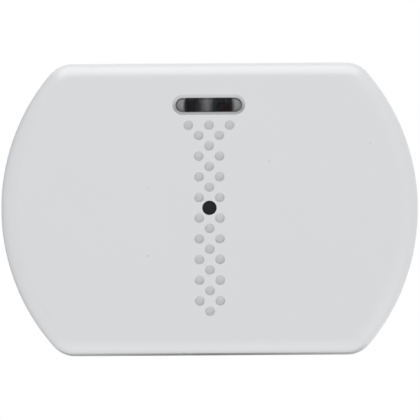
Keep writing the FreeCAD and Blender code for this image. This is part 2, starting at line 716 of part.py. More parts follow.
def cell_holder():
    back = FLOOR_Y - SEAT
    body = box(-HOLDER_HALF_L, HOLDER_HALF_L, back, CELL_Y - HOLDER_RISE, HOLDER_LOW, HOLDER_TOP)
    body = body.makeChamfer(HOLDER_CORNER, upright_edges(body, 5))
    across = CELL_R * 1.4
    walls = [block(s * (BAY_END + HOLDER_WALL / 2), CELL_Z, HOLDER_WALL, across, back, DIVIDER_Y)
             for s in (-1, 1)]
    walls.append(block(0, CELL_Z, DIVIDER_T, across, back, DIVIDER_Y))
    body = body.multiFuse(walls)
    r = CELL_R + FIT
    cuts = []
    for s in (-1, 1):
        x0 = s * BAY_START
        x1 = s * BAY_END
        tail = s * (BAY_END - STRIP_T / 2)
        cuts.append(bar(CELL_Y, CELL_Z, r, x0, x1))
        cuts.append(box(x0, x1, CELL_Y, 2 * FRONT_Y, CELL_Z - r, CELL_Z + r))
        cuts.append(thumb_notch((x0 + x1) / 2))
        cuts.append(box(tail - STRIP_T / 2 - SEAT, tail + STRIP_T / 2 + SEAT,
                        BOARD_Y + SEAT, 2 * FRONT_Y, CELL_Z, HOLDER_TOP + 1))
    return cut(body, cuts).removeSplitter()


def cell(x_tip):
    # contact nub at x_tip, body towards +X
    points = [(0, 0), (0, NUB_R), (NUB_L, NUB_R), (NUB_L, CELL_R), (CELL_L, CELL_R), (CELL_L, 0)]
    return turned_x([(x_tip + along, r) for along, r in points], CELL_Y, CELL_Z)


def contact_plate(x0, s):
    # strip at the end of a bay with a tail that is soldered to the board
    x1 = x0 + s * STRIP_T
    half = CELL_R * 0.6
    face = box(x0, x1, CELL_Y + half, CELL_Y - half, CELL_Z - half, CELL_Z + half)
    tail = box(x0, x1, BOARD_Y - SEAT, BOARD_Y - 3 * STRIP_T, CELL_Z, BOARD_LOW + PAD_SIZE / 2)
    return [face, tail]


def leaf(x0, s):
    # bows out from a strip at x0 towards s and presses on a cell
    half = CELL_R * 0.55
    z0 = CELL_Z - LEAF_W / 2
    tip = x0 + s * SPRING_H

    def at(x, y):
        return V(x, y, z0)

    outer = Part.Arc(at(x0, CELL_Y - half), at(tip, CELL_Y), at(x0, CELL_Y + half)).toShape()
    inner = Part.Arc(at(x0, CELL_Y + half - LEAF_T), at(tip - s * LEAF_T, CELL_Y),
                     at(x0, CELL_Y - half + LEAF_T)).toShape()
    ends = [Part.LineSegment(at(x0, CELL_Y + k * half), at(x0, CELL_Y + k * (half - LEAF_T))).toShape()
            for k in (1, -1)]
    return Part.Face(Part.Wire([outer, ends[0], inner, ends[1]])).extrude(V(0, 0, LEAF_W))


def contact_left():
    return fuse(contact_plate(SEAT / 2 - BAY_END, 1))


def contact_right():
    x0 = BAY_END - SEAT / 2
    return fuse(contact_plate(x0, -1) + [leaf(x0 - STRIP_T, -1)])


def contact_link():
    # strip folded over the divider between the two cells
    a = DIVIDER_T / 2 + SEAT / 2
    b = a + STRIP_T - SEAT
    half = CELL_R * 0.6
    over = DIVIDER_Y - SEAT
    strip = sheet_profile([(-b, CELL_Y + half), (-a, CELL_Y + half), (-a, over), (a, over),
                           (a, CELL_Y + half), (b, CELL_Y + half), (b, over - STRIP_T),
                           (-b, over - STRIP_T)], CELL_Z - half, CELL_Z + half)
    return fuse([strip, leaf(-b, -1)])


def main():
    keep("front_cover", front_cover())
    keep("led_window", led_window())
    keep("port_mesh", port_mesh())
    keep("back_plate", back_plate())
    keep("circuit_board", circuit_board())
    keep("board_screws", Part.makeCompound([pan_screw(-SCREW_X), pan_screw(SCREW_X)]))
    keep("mic_boot", mic_boot())
    keep("mic_capsule", mic_capsule())
    keep("led_baffle", led_baffle())
    keep("green_led", led(WELL_LEFT_X))
    keep("red_led", led(WELL_RIGHT_X))
    keep("main_chip", chip(-CHIP_X, CHIP_Z, CHIP_SIZE, CHIP_SIZE, CHIP_T, 10))
    keep("amplifier_chip", chip(-AMP_X, AMP_Z, AMP_W, AMP_H, AMP_T, 7))
    keep("radio_board", radio_board())
    keep("radio_shield", radio_shield())
    keep("antenna", antenna())
    keep("crystal", crystal())
    keep("electrolytic_capacitors", Part.makeCompound([electrolytic(CAN_X),
                                                       electrolytic(CAN_X + CAN_STEP)]))
    keep("chip_resistors", small_parts(resistor_places(), RESISTOR_T))
    keep("chip_capacitors", small_parts(capacitor_places(), CAPACITOR_T))
    keep("header_body", header_body())
    keep("header_pins", header_pins())
    keep("tamper_switch_body", tamper_switch_body())
    keep("tamper_plunger", tamper_plunger())
    keep("learn_button_body", learn_button_body())
    keep("learn_button_cap", learn_button_cap())
    keep("dip_switch_body", dip_switch_body())
    for number, z in enumerate(slider_rows(), 1):
        keep("dip_slider_%d" % number, dip_slider(z))
    keep("cell_holder", cell_holder())
    keep("cell_left", cell(STRIP_T + SEAT - BAY_END))
    keep("cell_right", cell(BAY_START + STRIP_T + SEAT))
    keep("contact_left", contact_left())
    keep("contact_right", contact_right())
    keep("contact_link", contact_link())

    os.makedirs("parts", exist_ok=True)
    for name, shape in NODES.items():
        shape.exportStep("parts/%s.step" % name)
        print("%-26s solids %2d  volume %9.1f  valid %s"
              % (name, len(shape.Solids), shape.Volume, shape.isValid()))


main()
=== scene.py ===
import bmesh
import bpy
import math
from mathutils import Matrix, Vector
from mathutils.geometry import delaunay_2d_cdt


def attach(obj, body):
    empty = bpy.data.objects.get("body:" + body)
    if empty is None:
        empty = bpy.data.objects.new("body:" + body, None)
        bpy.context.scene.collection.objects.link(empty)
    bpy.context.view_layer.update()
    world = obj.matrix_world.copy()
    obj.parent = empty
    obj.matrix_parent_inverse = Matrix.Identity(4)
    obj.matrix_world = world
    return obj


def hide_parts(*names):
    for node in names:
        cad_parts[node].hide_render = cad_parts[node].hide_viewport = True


# A wireless glass break sensor on a wall: front at -Y, Z up, lengths below in millimetres.

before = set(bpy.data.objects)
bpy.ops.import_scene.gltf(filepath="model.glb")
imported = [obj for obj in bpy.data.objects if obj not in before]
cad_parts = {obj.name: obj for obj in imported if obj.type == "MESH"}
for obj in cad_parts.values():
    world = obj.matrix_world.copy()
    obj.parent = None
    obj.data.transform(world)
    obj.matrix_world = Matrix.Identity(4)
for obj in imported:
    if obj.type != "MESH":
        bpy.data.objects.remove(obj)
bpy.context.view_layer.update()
MM = 0.001

# Case and cover
SIDE_R = 54.0
HALF_H = 37.65
CORNER_R = 7.5
FIT = 0.2
SEAT = 0.05
FRONT_Y = -28.0
FRONT_WALL = 2.4
INSIDE_Y = FRONT_Y + FRONT_WALL
EDGE_R = 4.4
WALL = 2.2
LIP_T = 1.1
PART_Y = -8.0            # where cover and back plate part
PART_GAP = 0.12
MOUTH_Y = PART_Y - PART_GAP
MOUTH_EDGE = 0.12
TONGUE_H = 2.0
RABBET_Y = PART_Y - TONGUE_H - FIT
SLOT_H = 3.0             # release slot in the bottom edge
SLOT_Y = MOUTH_Y - SLOT_H
SLOT_HALF_W = 8.0
SIDE_STEPS = 56
CORNER_STEPS = 14
EDGE_STEPS = 14
INNER_EDGE_STEPS = 6

# Dimples and sound port
DIMPLE_PITCH = 2.68
DIMPLE_R = 1.22
DIMPLE_LIP = 0.1
DIMPLE_FOOT = 0.2
DIMPLE_DEPTH = 0.7
DIMPLE_SIDES = 32
TOP_ROW = 8
LOWEST_ROW = -10
ROWS = TOP_ROW - LOWEST_ROW + 1
OUTER_COLUMN = 2
COLUMNS = 2 * OUTER_COLUMN + 1
PORT_R = 1.86
PORT_SIDES = 48
CLOTH_PITCH = 0.45

# Window, its lens and the light block behind it
WINDOW_DROP = 11.05
WINDOW_Z = HALF_H - WINDOW_DROP
WINDOW_UP = 0.13         # opening and lens stand this much above the middle of the flange
WINDOW_W = 17.3
WINDOW_H = 3.7
WINDOW_RING = 0.75
WINDOW_RING_DEPTH = 0.7
LENS_SET_BACK = 0.25
LENS_Y = FRONT_Y + WINDOW_RING_DEPTH + LENS_SET_BACK
LENS_FLANGE = 1.6        # past the opening, all round
FLANGE_T = 1.0
FLANGE_Y = INSIDE_Y + SEAT + FLANGE_T
FLANGE_HALF_W = WINDOW_W / 2 + LENS_FLANGE
FLANGE_HALF_H = WINDOW_H / 2 + LENS_FLANGE
RAIL_T = 0.9
BAFFLE_GAP = 0.6
BAFFLE_HALF_W = 10.5
BAFFLE_HALF_H = 3.5
SHAFT_H = 4.6

# Hooks, ribs and post behind the cover's face
HOOK_X = 24.0
HOOK_W = 9.0
HOOK_L = 5.5
HOOK_REACH = 3.6
HOOK_LIP = 0.8
THROAT_R = 1.5
RIB_T = 1.2
RIB_ROOT = 0.2
CELL_RIBS_X = (10.35, 27.6)
STIFFENERS_X = (19.5, 33.0)
STIFFENER_LOW = -10.15
STIFFENER_H = 1.5
PLUNGER_W = 2.4
PLUNGER_TIP_Y = -16.2

# Board, with the middles of the parts that stand on it, and cells
FLOOR = 2.2
STANDOFF = 4.0
BOARD_T = 1.6
BOARD_Y = -(FLOOR + STANDOFF + BOARD_T)
PIN_TOP = 0.45
LAMP_FRAME_T = 1.25
CAN_FOOT_T = 0.95
SWITCH_PLATE = 3.0       # the metal plate of the learn button lies past this height
FELT_R = 3.0
CHIP_X, CHIP_Z = -18.0, 8.8
CHIP_HALF = 4.05
AMP_X, AMP_Z = -17.5, -3.65
AMP_HALF_H = 1.95
CANS_X, CANS_Z = -22.5, 21.65
TAMPER_X, TAMPER_Z = -31.0, 3.35
BUTTON_X, BUTTON_Z = 29.0, -3.15
SWITCH_HALF = 3.02
DIP_X, DIP_Z = 16.0, -2.65
HEADER_X, CRYSTAL_X = 8.0, -8.0
MIDDLE_Z = 14.55
RADIO_X, RADIO_Z = 23.0, 13.1
CELL_Y, CELL_Z = -12.15, -21.65
CELL_R = 8.5
CELL_END_R = 4.0


# Mesh helpers

# turns between faces, in degrees, past which an edge stays sharp
CASE_SHARP = 34
COPY_SHARP = 30
SOLDER_SHARP = 40


def in_scene(name, data):
    """New object in the scene for a mesh, a lamp or a camera."""
    made = bpy.data.objects.new(name, data)
    bpy.context.scene.collection.objects.link(made)
    return made


def plain_mesh(name, bm):
    mesh = bpy.data.meshes.new(name)
    bm.to_mesh(mesh)
    bm.free()
    return mesh


def mesh_with_modifiers(piece):
    """Plain mesh of what a piece's modifiers make."""
    graph = bpy.context.evaluated_depsgraph_get()
    return bpy.data.meshes.new_from_object(piece.evaluated_get(graph), depsgraph=graph)


def finished_piece(name, bm, body, node, slots, pick=None):
    """Makes a piece that rides on a body in place of a node.

    The first of its finishes is its slot's, and pick gives the number of the one at a place.
    """
    piece = in_scene(name, plain_mesh(name, bm))
    for slot in slots:
        piece.data.materials.append(FINISHES[slot])
    if pick:
        for polygon in piece.data.polygons:
            x, y, z = polygon.center / MM
            polygon.material_index = int(pick(x, y, z, polygon.normal))
    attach(piece, body)
    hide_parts(node)
    return piece


def built_piece(name, bm, body, node, slots, pick=None):
    """The same from a bmesh that was built in millimetres."""
    bmesh.ops.remove_doubles(bm, verts=bm.verts, dist=1e-4)
    bmesh.ops.recalc_face_normals(bm, faces=bm.faces)
    bm.transform(Matrix.Scale(MM, 4))
    return finished_piece(name, bm, body, node, slots, pick)


def apply_modifiers(piece):
    """Swaps a piece's mesh for the one that its modifiers make."""
    made = mesh_with_modifiers(piece)
    made.name = piece.data.name
    piece.modifiers.clear()
    piece.data = made


def soften(piece, angle, bevel=0.0):
    """Smooth shading between sharp edges, with a small round on them where a bevel is given."""
    for polygon in piece.data.polygons:
        polygon.use_smooth = True
    piece.data.set_sharp_from_angle(angle=math.radians(angle))
    if bevel:
        edge = piece.modifiers.new("edge round", "BEVEL")
        edge.width = bevel * MM
        edge.segments = 2
        edge.limit_method = "ANGLE"
        edge.angle_limit = math.radians(angle)
        edge.harden_normals = False
    weigh = piece.modifiers.new("even shading", "WEIGHTED_NORMAL")
    weigh.keep_sharp = True
    weigh.weight = 60
    apply_modifiers(piece)


def ring(bm, points):
    return [bm.verts.new(p) for p in points]


def ring_at(bm, outline, y):
    """Ring of an outline of x and z, at a depth."""
    return ring(bm, [(x, y, z) for x, z in outline])


def bridge(bm, a, b, gap=None):
    """Faces between two rings, but for the one at a gap."""
    count = len(a)
    for i in range(count):
        j = (i + 1) % count
        if i != gap:
            bm.faces.new((a[i], a[j], b[j], b[i]))


def skin(bm, rings):
    """Joins each ring to the next."""
    for a, b in zip(rings, rings[1:]):
        bridge(bm, a, b)


def prism(bm, outline, axis, start, end):
    """Closed solid from an outline of pairs, with its thickness along one axis."""
    at = "xyz".index(axis)
    low, high = [ring(bm, [p[:at] + (level,) + p[at:] for p in outline]) for level in (start, end)]
    bridge(bm, low, high)
    bm.faces.new(low)
    bm.faces.new(high)


def block(bm, x0, x1, y0, y1, z0, z1):
    """Box between two limits along each axis."""
    prism(bm, [(x0, y0), (x1, y0), (x1, y1), (x0, y1)], "z", z0, z1)


def arc(cx, cy, r, start, end, steps):
    """Points of an arc from one angle to another in degrees, with both ends."""
    turns = [math.radians(start + (end - start) * i / steps) for i in range(steps + 1)]
    return [(cx + r * math.cos(a), cy + r * math.sin(a)) for a in turns]


def circle(r, steps, x=0.0, z=0.0):
    return arc(x, z, r, 0, 360, steps)[:-1]


def pill(width, height, steps=16):
    """Outline with round ends, round the middle of the window's opening."""
    z = WINDOW_Z + WINDOW_UP
    r = height / 2
    h = width / 2 - r
    return arc(h, z, r, -90, 90, steps) + arc(-h, z, r, 90, 270, steps)


def case_outline(inset):
    """Flat top and bottom, round sides and round corners, moved in by inset."""
    zc = HALF_H - CORNER_R
    xc = math.sqrt((SIDE_R - CORNER_R) ** 2 - zc ** 2)
    turn = math.degrees(math.atan2(zc, xc))
    r = CORNER_R - inset
    side = SIDE_R - inset
    points = arc(0, 0, side, -turn, turn, SIDE_STEPS)[:-1]
    points += arc(xc, zc, r, turn, 90, CORNER_STEPS)
    points += arc(-xc, zc, r, 90, 180 - turn, CORNER_STEPS)[:-1]
    points += arc(0, 0, side, 180 - turn, 180 + turn, SIDE_STEPS)[:-1]
    points += arc(-xc, -zc, r, 180 + turn, 270, CORNER_STEPS)
    points += [(-SLOT_HALF_W, inset - HALF_H), (SLOT_HALF_W, inset - HALF_H)]
    points += arc(xc, -zc, r, 270, 360 - turn, CORNER_STEPS)[:-1]
    return points


def inside(x, z, loop):
    """Whether a point lies inside a closed outline."""
    hit = False
    for i, (x1, z1) in enumerate(loop):
        x0, z0 = loop[i - 1]
        if (z0 > z) != (z1 > z) and x < (x1 - x0) * (z - z0) / (z1 - z0) + x0:
            hit = not hit
    return hit


def sheet_with_holes(bm, outline, holes, y):
    """Flat face at y inside an outline, open at the holes."""
    loops = [outline] + holes
    points, edges = [], []
    for loop in loops:
        first = len(points)
        points += [Vector(p) for p in loop]
        edges += [(first + i, first + (i + 1) % len(loop)) for i in range(len(loop))]
    found, _, faces, *_ = delaunay_2d_cdt(points, edges, [], 0, 1e-5)
    verts = [bm.verts.new((p[0], y, p[1])) for p in found]
    for face in faces:
        x = sum(found[i][0] for i in face) / 3
        z = sum(found[i][1] for i in face) / 3
        if inside(x, z, outline) and not any(inside(x, z, hole) for hole in holes):
            bm.faces.new([verts[i] for i in face])


# Node helpers

def feed(socket, value):
    """Links a socket to another one or to a node's first output, or sets it to a plain value."""
    if isinstance(value, bpy.types.Node):
        value = value.outputs[0]
    if isinstance(value, bpy.types.NodeSocket):
        socket.id_data.links.new(value, socket)
    else:
        socket.default_value = value


def give(node, **inputs):
    """Sets properties and inputs; at_3 is input 3, and an underscore can mean a space."""
    for name, value in inputs.items():
        if name.startswith("at_"):
            feed(node.inputs[int(name[3:])], value)
        elif name in node.inputs:
            feed(node.inputs[name], value)
        elif hasattr(node, name):
            setattr(node, name, value)
        else:
            feed(node.inputs[name.replace("_", " ")], value)
    return node


def add(tree, kind, **inputs):
    return give(tree.nodes.new(kind), **inputs)


def maths(operation):
    """Function that adds a node for an operation on its arguments and returns what comes out."""
    def run(*values):
        parts = [v for v in values if isinstance(v, (bpy.types.Node, bpy.types.NodeSocket))]
        node = add(parts[0].id_data, "ShaderNodeMath", operation=operation)
        for socket, value in zip(node.inputs, values):
            feed(socket, value)
        return node.outputs[0]
    return run


# sums, comparisons and roundings, of outputs and plain numbers
plus, minus, times, over = [maths(k) for k in ("ADD", "SUBTRACT", "MULTIPLY", "DIVIDE")]
larger, less, more, size_of = [maths(k) for k in ("MAXIMUM", "LESS_THAN", "GREATER_THAN", "ABSOLUTE")]
times_plus, whole, fraction, nearest = [maths(k) for k in ("MULTIPLY_ADD", "FLOOR", "FRACT", "ROUND")]


def blend(share, a, b):
    """Colour between two others."""
    return add(share.id_data, "ShaderNodeMix", data_type="RGBA", at_0=share, at_6=a, at_7=b).outputs[2]


def steps(value, low, high, to_low=0.0, to_high=1.0):
    """Soft step of a value between two limits."""
    return add(value.id_data, "ShaderNodeMapRange", interpolation_type="SMOOTHSTEP", at_0=value,
               at_1=low, at_2=high, at_3=to_low, at_4=to_high).outputs[0]


def hypotenuse(a, b):
    return maths("SQRT")(plus(times(a, a), times(b, b)))


def place_on_piece(tree):
    return add(tree, "ShaderNodeTexCoord").outputs["Object"]


def axes(vector):
    """The three parts of a vector; of the place on the piece, x, y and z in metres."""
    return add(vector.id_data, "ShaderNodeSeparateXYZ", Vector=vector).outputs


def new_group(name, kind, inputs, outputs):
    """Node group with named sockets: name, type and, for an input, its usual value.

    Returns the group, the sockets that hand the inputs in, and the node that takes the outputs.
    """
    group = bpy.data.node_groups.new(name, kind)
    for label, sort, value in inputs:
        socket = group.interface.new_socket(label, in_out="INPUT", socket_type="NodeSocket" + sort)
        if value is not None:
            socket.default_value = value
    for label, sort in outputs:
        group.interface.new_socket(label, in_out="OUTPUT", socket_type="NodeSocket" + sort)
    return group, group.nodes.new("NodeGroupInput").outputs, group.nodes.new("NodeGroupOutput")


def hand_out(out, copies, finish):
    """Hands copies of a mesh out of a geometry tree, made real and with a finish."""
    real = add(out.id_data, "GeometryNodeRealizeInstances", Geometry=copies)
    give(out, Geometry=add(out.id_data, "GeometryNodeSetMaterial", Geometry=real, Material=finish))


# Effects that several finishes share

# how fine the streaks of rolled metal are along x, y and z
STREAK = (60.0, 60.0, 2500.0)


def build_moulded_grain():
    """Moulded plastic: slow drift of tone, fine spark-eroded grain and a few dust specks."""
    tree, given, out = new_group(
        "moulded grain", "ShaderNodeTree",
        [("Color", "Color", (0.7, 0.7, 0.7, 1)), ("Drift", "Float", 0.03),
         ("Grain Size", "Float", 0.25), ("Specks", "Float", 0.1),
         ("Roughness", "Float", 0.4)],
        [("Color", "Color"), ("Roughness", "Float"), ("Height", "Float")])
    speck_r, speck_edge = 0.05, 0.085
    speck_rare, speck_sure = 0.86, 0.9
    grain_roughness = 0.1
    where = place_on_piece(tree)
    slow = add(tree, "ShaderNodeTexNoise", Vector=where, Scale=38.0, Detail=2.0)
    cell = over(1 / MM, given["Grain Size"])
    fine = add(tree, "ShaderNodeTexNoise", Vector=where, Scale=cell, Detail=3.0, Roughness=0.6)
    dots = add(tree, "ShaderNodeTexVoronoi", Vector=where, Scale=190.0, Randomness=1.0)
    core = steps(dots.outputs["Distance"], speck_r, speck_edge, 1.0, 0.0)
    chance = add(tree, "ShaderNodeSeparateColor", Color=dots.outputs["Color"])
    some = steps(chance, speck_rare, speck_sure)
    speck = times(times(core, some), given["Specks"])
    swing = times(minus(slow, 0.5), given["Drift"])
    level = minus(plus(swing, 1.0), speck)
    toned = add(tree, "ShaderNodeVectorMath", operation="SCALE", at_0=given["Color"], Scale=level)
    rough = times_plus(fine, grain_roughness, given["Roughness"])
    rough = minus(rough, grain_roughness / 2)
    give(out, Color=toned, Roughness=rough, Height=fine)
    return tree


def build_metal_marks():
    """Sheet metal: rolling streaks and soft blotches of tarnish, both rougher than the rest."""
    tree, given, out = new_group(
        "metal marks", "ShaderNodeTree",
        [("Color", "Color", (0.7, 0.7, 0.7, 1)), ("Tarnish", "Float", 0.2),
         ("Streak", "Vector", STREAK), ("Roughness", "Float", 0.3)],
        [("Color", "Color"), ("Roughness", "Float"), ("Height", "Float")])
    blot_edge, blot_full = 0.45, 0.75
    streak_roughness, stain_roughness = 0.2, 0.5
    tarnish_brown = (0.16, 0.13, 0.10, 1)
    where = place_on_piece(tree)
    long = add(tree, "ShaderNodeVectorMath", operation="MULTIPLY", at_0=where, at_1=given["Streak"])
    lines = add(tree, "ShaderNodeTexNoise", Vector=long, Scale=1.0, Detail=4.0)
    blot = add(tree, "ShaderNodeTexNoise", Vector=where, Scale=260.0, Detail=4.0, Distortion=0.6)
    stain = times(steps(blot, blot_edge, blot_full), given["Tarnish"])
    toned = blend(stain, given["Color"], tarnish_brown)
    rough = times_plus(lines, streak_roughness, given["Roughness"])
    rough = plus(rough, times(stain, stain_roughness))
    give(out, Color=toned, Roughness=rough, Height=lines)
    return tree


MOULDED = build_moulded_grain()
METAL = build_metal_marks()


def material(name):
    made = bpy.data.materials.new(name)
    made.use_nodes = True
    return made, made.node_tree, made.node_tree.nodes["Principled BSDF"]


def use(tree, group, **inputs):
    return add(tree, "ShaderNodeGroup", node_tree=group, **inputs)


def wear(shader, effect, depth, strength=0.4):
    """Feeds an effect's colour, roughness and height into the shader."""
    bump = add(shader.id_data, "ShaderNodeBump", Height=effect.outputs["Height"], Strength=strength,
               Distance=depth * MM)
    give(shader, Base_Color=effect.outputs["Color"], Roughness=effect.outputs["Roughness"],
         Normal=bump)


def plastic(name, colour, roughness=0.42, grain=0.25, depth=0.01, drift=0.03, specks=0.1,
            coat=0.0, coat_roughness=0.1):
    """Moulded plastic; the grain's size and depth are in millimetres."""
    made, tree, shader = material(name)
    effect = use(tree, MOULDED, Color=(*colour, 1), Drift=drift, Grain_Size=grain, Specks=specks,
                 Roughness=roughness)
    wear(shader, effect, depth)
    give(shader, Coat_Weight=coat, Coat_Roughness=coat_roughness)
    return made


def metal(name, colour, roughness=0.28, tarnish=0.2):
    made, tree, shader = material(name)
    effect = use(tree, METAL, Color=(*colour, 1), Tarnish=tarnish, Streak=STREAK,
                 Roughness=roughness)
    wear(shader, effect, 0.01, 0.2)
    give(shader, Metallic=1.0)
    return made


# Finishes

# colour, roughness, grain size, grain depth, drift of tone, specks, coat and its roughness
PLASTICS = {
    "case_white": ((0.710, 0.719, 0.7355), 0.36, 0.22, 0.006, 0.02, 0.12, 0.2, 0.12),
    # the dimples' floors: the case's white made darker, as painted shade in the recesses
    "dimple_shade": ((0.635, 0.64, 0.65), 0.45, 0.22, 0.006, 0.05, 0.1),
    "case_white_back": ((0.69, 0.70, 0.71), 0.46, 0.3, 0.012, 0.03, 0.1),
    "baffle_grey": ((0.85, 0.84, 0.86), 0.5, 0.3, 0.01, 0.05, 0.1),
    "board_dark": ((0.02, 0.08, 0.13), 0.35, 0.3, 0.01, 0.05, 0.05, 0.5),
    "board_edge": ((0.36, 0.36, 0.20), 0.6, 0.15, 0.02, 0.2, 0.05),
    "black_rubber": ((0.025, 0.025, 0.027), 0.7, 0.2, 0.02, 0.2, 0.1),
    "capsule_felt": ((0.02, 0.02, 0.022), 0.9, 0.08, 0.03, 0.3, 0.0),
    "green_lamp": ((0.05, 0.19, 0.075), 0.5, 0.5, 0.002, 0.05, 0.0),
    "red_lamp": ((0.20, 0.022, 0.018), 0.5, 0.5, 0.002, 0.05, 0.0),
    "lamp_frame": ((0.05, 0.05, 0.05), 0.5),
    "chip_black": ((0.03, 0.03, 0.032), 0.5, 0.15, 0.01, 0.2, 0.1),
    "capacitor_foot": ((0.03, 0.03, 0.032), 0.5),
    "resistor_black": ((0.04, 0.04, 0.045), 0.5),
    "capacitor_tan": ((0.48, 0.36, 0.24), 0.5),
    "header_black": ((0.03, 0.03, 0.03), 0.5),
    "switch_black": ((0.035, 0.035, 0.04), 0.5),
    "plunger_white": ((0.70, 0.69, 0.66), 0.4),
    "button_red": ((0.45, 0.04, 0.03), 0.45),
    "dip_blue": ((0.04, 0.12, 0.40), 0.35),
    "slider_white": ((0.78, 0.77, 0.74), 0.4),
    "holder_black": ((0.03, 0.03, 0.033), 0.55),
    "cell_wrap": ((0.08, 0.09, 0.11), 0.3, 0.8, 0.01, 0.1, 0.05, 0.5)}
# colour, and for the solder its roughness and tarnish
METALS = {
    "zinc_steel": ((0.55, 0.55, 0.56),),
    "capsule_metal": ((0.62, 0.63, 0.64),),
    "tinned_steel": ((0.66, 0.66, 0.65),),
    "copper_wire": ((0.70, 0.40, 0.22),),
    "crystal_can": ((0.64, 0.64, 0.63),),
    "gold_pin": ((0.78, 0.62, 0.28),),
    "contact_nickel": ((0.70, 0.69, 0.65),),
    "solder": ((0.62, 0.62, 0.60), 0.3, 0.1)}
PRINT_HALF_T = 0.09
# middle, width and height of the outlines printed round the parts on the board
PRINTED_OUTLINES = (
    (CHIP_X, CHIP_Z, 12.0, 12.0), (AMP_X, AMP_Z, 10.0, 7.6), (CANS_X, CANS_Z, 16.4, 8.4),
    (TAMPER_X, TAMPER_Z, 9.2, 7.6), (DIP_X, DIP_Z, 10.8, 12.8), (BUTTON_X, BUTTON_Z, 9.2, 7.6),
    (HEADER_X, MIDDLE_Z, 3.6, 13.2), (CRYSTAL_X, MIDDLE_Z, 5.6, 12.0),
    (RADIO_X, RADIO_Z, 20.6, 13.6), (0.0, 0.0, 13.6, 13.6))


def make_smoked_lens():
    """Dark clear plastic that lets the light shafts behind it show, and less of them at its rim."""
    made, tree, shader = material("smoked lens")
    effect = use(tree, MOULDED, Color=(0.035, 0.035, 0.042, 1), Drift=0.2, Grain_Size=0.5,
                 Specks=0.05, Roughness=0.2)
    wear(shader, effect, 0.004, 0.2)
    # the rim's higher alpha is a painted dark edge: the shade in the gap round the lens, and the thicker
    # smoked plastic there
    middle_alpha, rim_alpha = 0.055, 0.2
    rim_from, rim_to = WINDOW_H / 2 - 0.5, WINDOW_H / 2 - 0.1
    spot = axes(place_on_piece(tree))
    along = minus(size_of(spot[0]), (WINDOW_W - WINDOW_H) / 2 * MM)
    along = larger(along, 0.0)
    across = minus(spot[2], WINDOW_Z * MM)
    rim = steps(hypotenuse(along, across), rim_from * MM, rim_to * MM, middle_alpha, rim_alpha)
    give(shader, Alpha=rim)
    return made


def make_ring_shade():
    """The cover's white in the slope round the window, with painted shade that greys it towards its
    lower side.
    """
    made, tree, shader = material("window ring shade")
    # painted shade: the slope turns grey towards its lower side, along a noisy edge
    lit_white, shaded_grey = (0.60, 0.61, 0.62, 1), (0.38, 0.38, 0.39, 1)
    lit_z, shaded_z = WINDOW_Z + 1.9, WINDOW_Z - 1.2
    unevenness = 0.8
    where = place_on_piece(tree)
    shade_noise = add(tree, "ShaderNodeTexNoise", Vector=where, Scale=900.0, Detail=3.0)
    level = times_plus(shade_noise, unevenness * MM, axes(where)[2])
    colour = blend(steps(level, lit_z * MM, shaded_z * MM), lit_white, shaded_grey)
    effect = use(tree, MOULDED, Color=colour, Drift=0.03, Grain_Size=0.22, Specks=0.0,
                 Roughness=0.45)
    wear(shader, effect, 0.006)
    return made


def make_shaft_shade():
    """The light block's grey, with painted shade: darker near its middle and down the shafts."""
    made, tree, shader = material("light shaft shade")
    # middle and deep are painted shade, between the shafts and down inside them
    middle, sides, deep = (0.36, 0.36, 0.37, 1), (0.88, 0.87, 0.89, 1), (0.085, 0.085, 0.09, 1)
    middle_x, middle_half_w, sides_from = -0.4, 1.6, 3.6
    lit_y, deep_y = FLANGE_Y + 0.55, FLANGE_Y + 2.3
    spot = axes(place_on_piece(tree))
    aside = size_of(minus(spot[0], middle_x * MM))
    face = blend(steps(aside, middle_half_w * MM, sides_from * MM), middle, sides)
    colour = blend(steps(spot[1], lit_y * MM, deep_y * MM), face, deep)
    effect = use(tree, MOULDED, Color=colour, Drift=0.05, Grain_Size=0.3, Specks=0.0, Roughness=0.6)
    wear(shader, effect, 0.006)
    return made


def make_port_cloth():
    """Woven cloth: threads both ways, and a dark hole between every four of them."""
    made, tree, shader = material("port cloth")
    hole, thread = (0.001, 0.001, 0.001, 1), (0.032, 0.032, 0.035, 1)
    hole_edge, thread_edge = 0.5, 0.85
    spot = axes(place_on_piece(tree))
    waves = []
    for axis in (0, 2):
        turn = times(spot[axis], math.pi / (CLOTH_PITCH * MM))
        waves.append(size_of(maths("SINE")(turn)))
    tone = steps(larger(*waves), hole_edge, thread_edge)
    bump = add(tree, "ShaderNodeBump", Height=tone, Strength=0.5, Distance=0.05 * MM)
    give(shader, Base_Color=blend(tone, hole, thread), Roughness=0.85, Normal=bump)
    return made


def build_board_tracks():
    """Etched board: runs of track along both ways on a grid, and plated holes where some of them end."""
    tree, given, out = new_group(
        "board tracks", "ShaderNodeTree",
        [("Pitch", "Float", 1.27), ("Run", "Float", 9.0), ("Width", "Float", 0.32),
         ("Share", "Float", 0.5)],
        [("Tracks", "Float"), ("Holes", "Float")])
    pitch = given["Pitch"]
    run = given["Run"]
    hole_in, hole_r = 0.45, 0.36
    spread = 17.0
    scaled = add(tree, "ShaderNodeVectorMath", operation="SCALE", at_0=place_on_piece(tree),
                 Scale=1 / MM)
    spot = axes(scaled)
    tracks, holes = [], []
    for seed, (long, short) in enumerate(((spot[0], spot[2]), (spot[2], spot[0]))):
        lane = over(short, pitch)
        shift = add(tree, "ShaderNodeTexWhiteNoise", noise_dimensions="1D",
                    W=plus(whole(lane), spread * seed + 0.5))
        piece = plus(over(long, run), shift)
        key = add(tree, "ShaderNodeCombineXYZ", X=whole(lane), Y=whole(piece), Z=float(seed))
        chance = add(tree, "ShaderNodeTexWhiteNoise", noise_dimensions="3D", Vector=key)
        there = less(chance, given["Share"])
        off = size_of(minus(fraction(lane), 0.5))
        across = times(off, pitch)
        line = less(across, times(given["Width"], 0.5))
        tracks.append(times(there, line))
        end = times(fraction(piece), run)
        end = size_of(minus(end, hole_in))
        hole = less(hypotenuse(end, across), hole_r)
        holes.append(times(there, hole))
    give(out, Tracks=larger(*tracks), Holes=larger(*holes))
    return tree


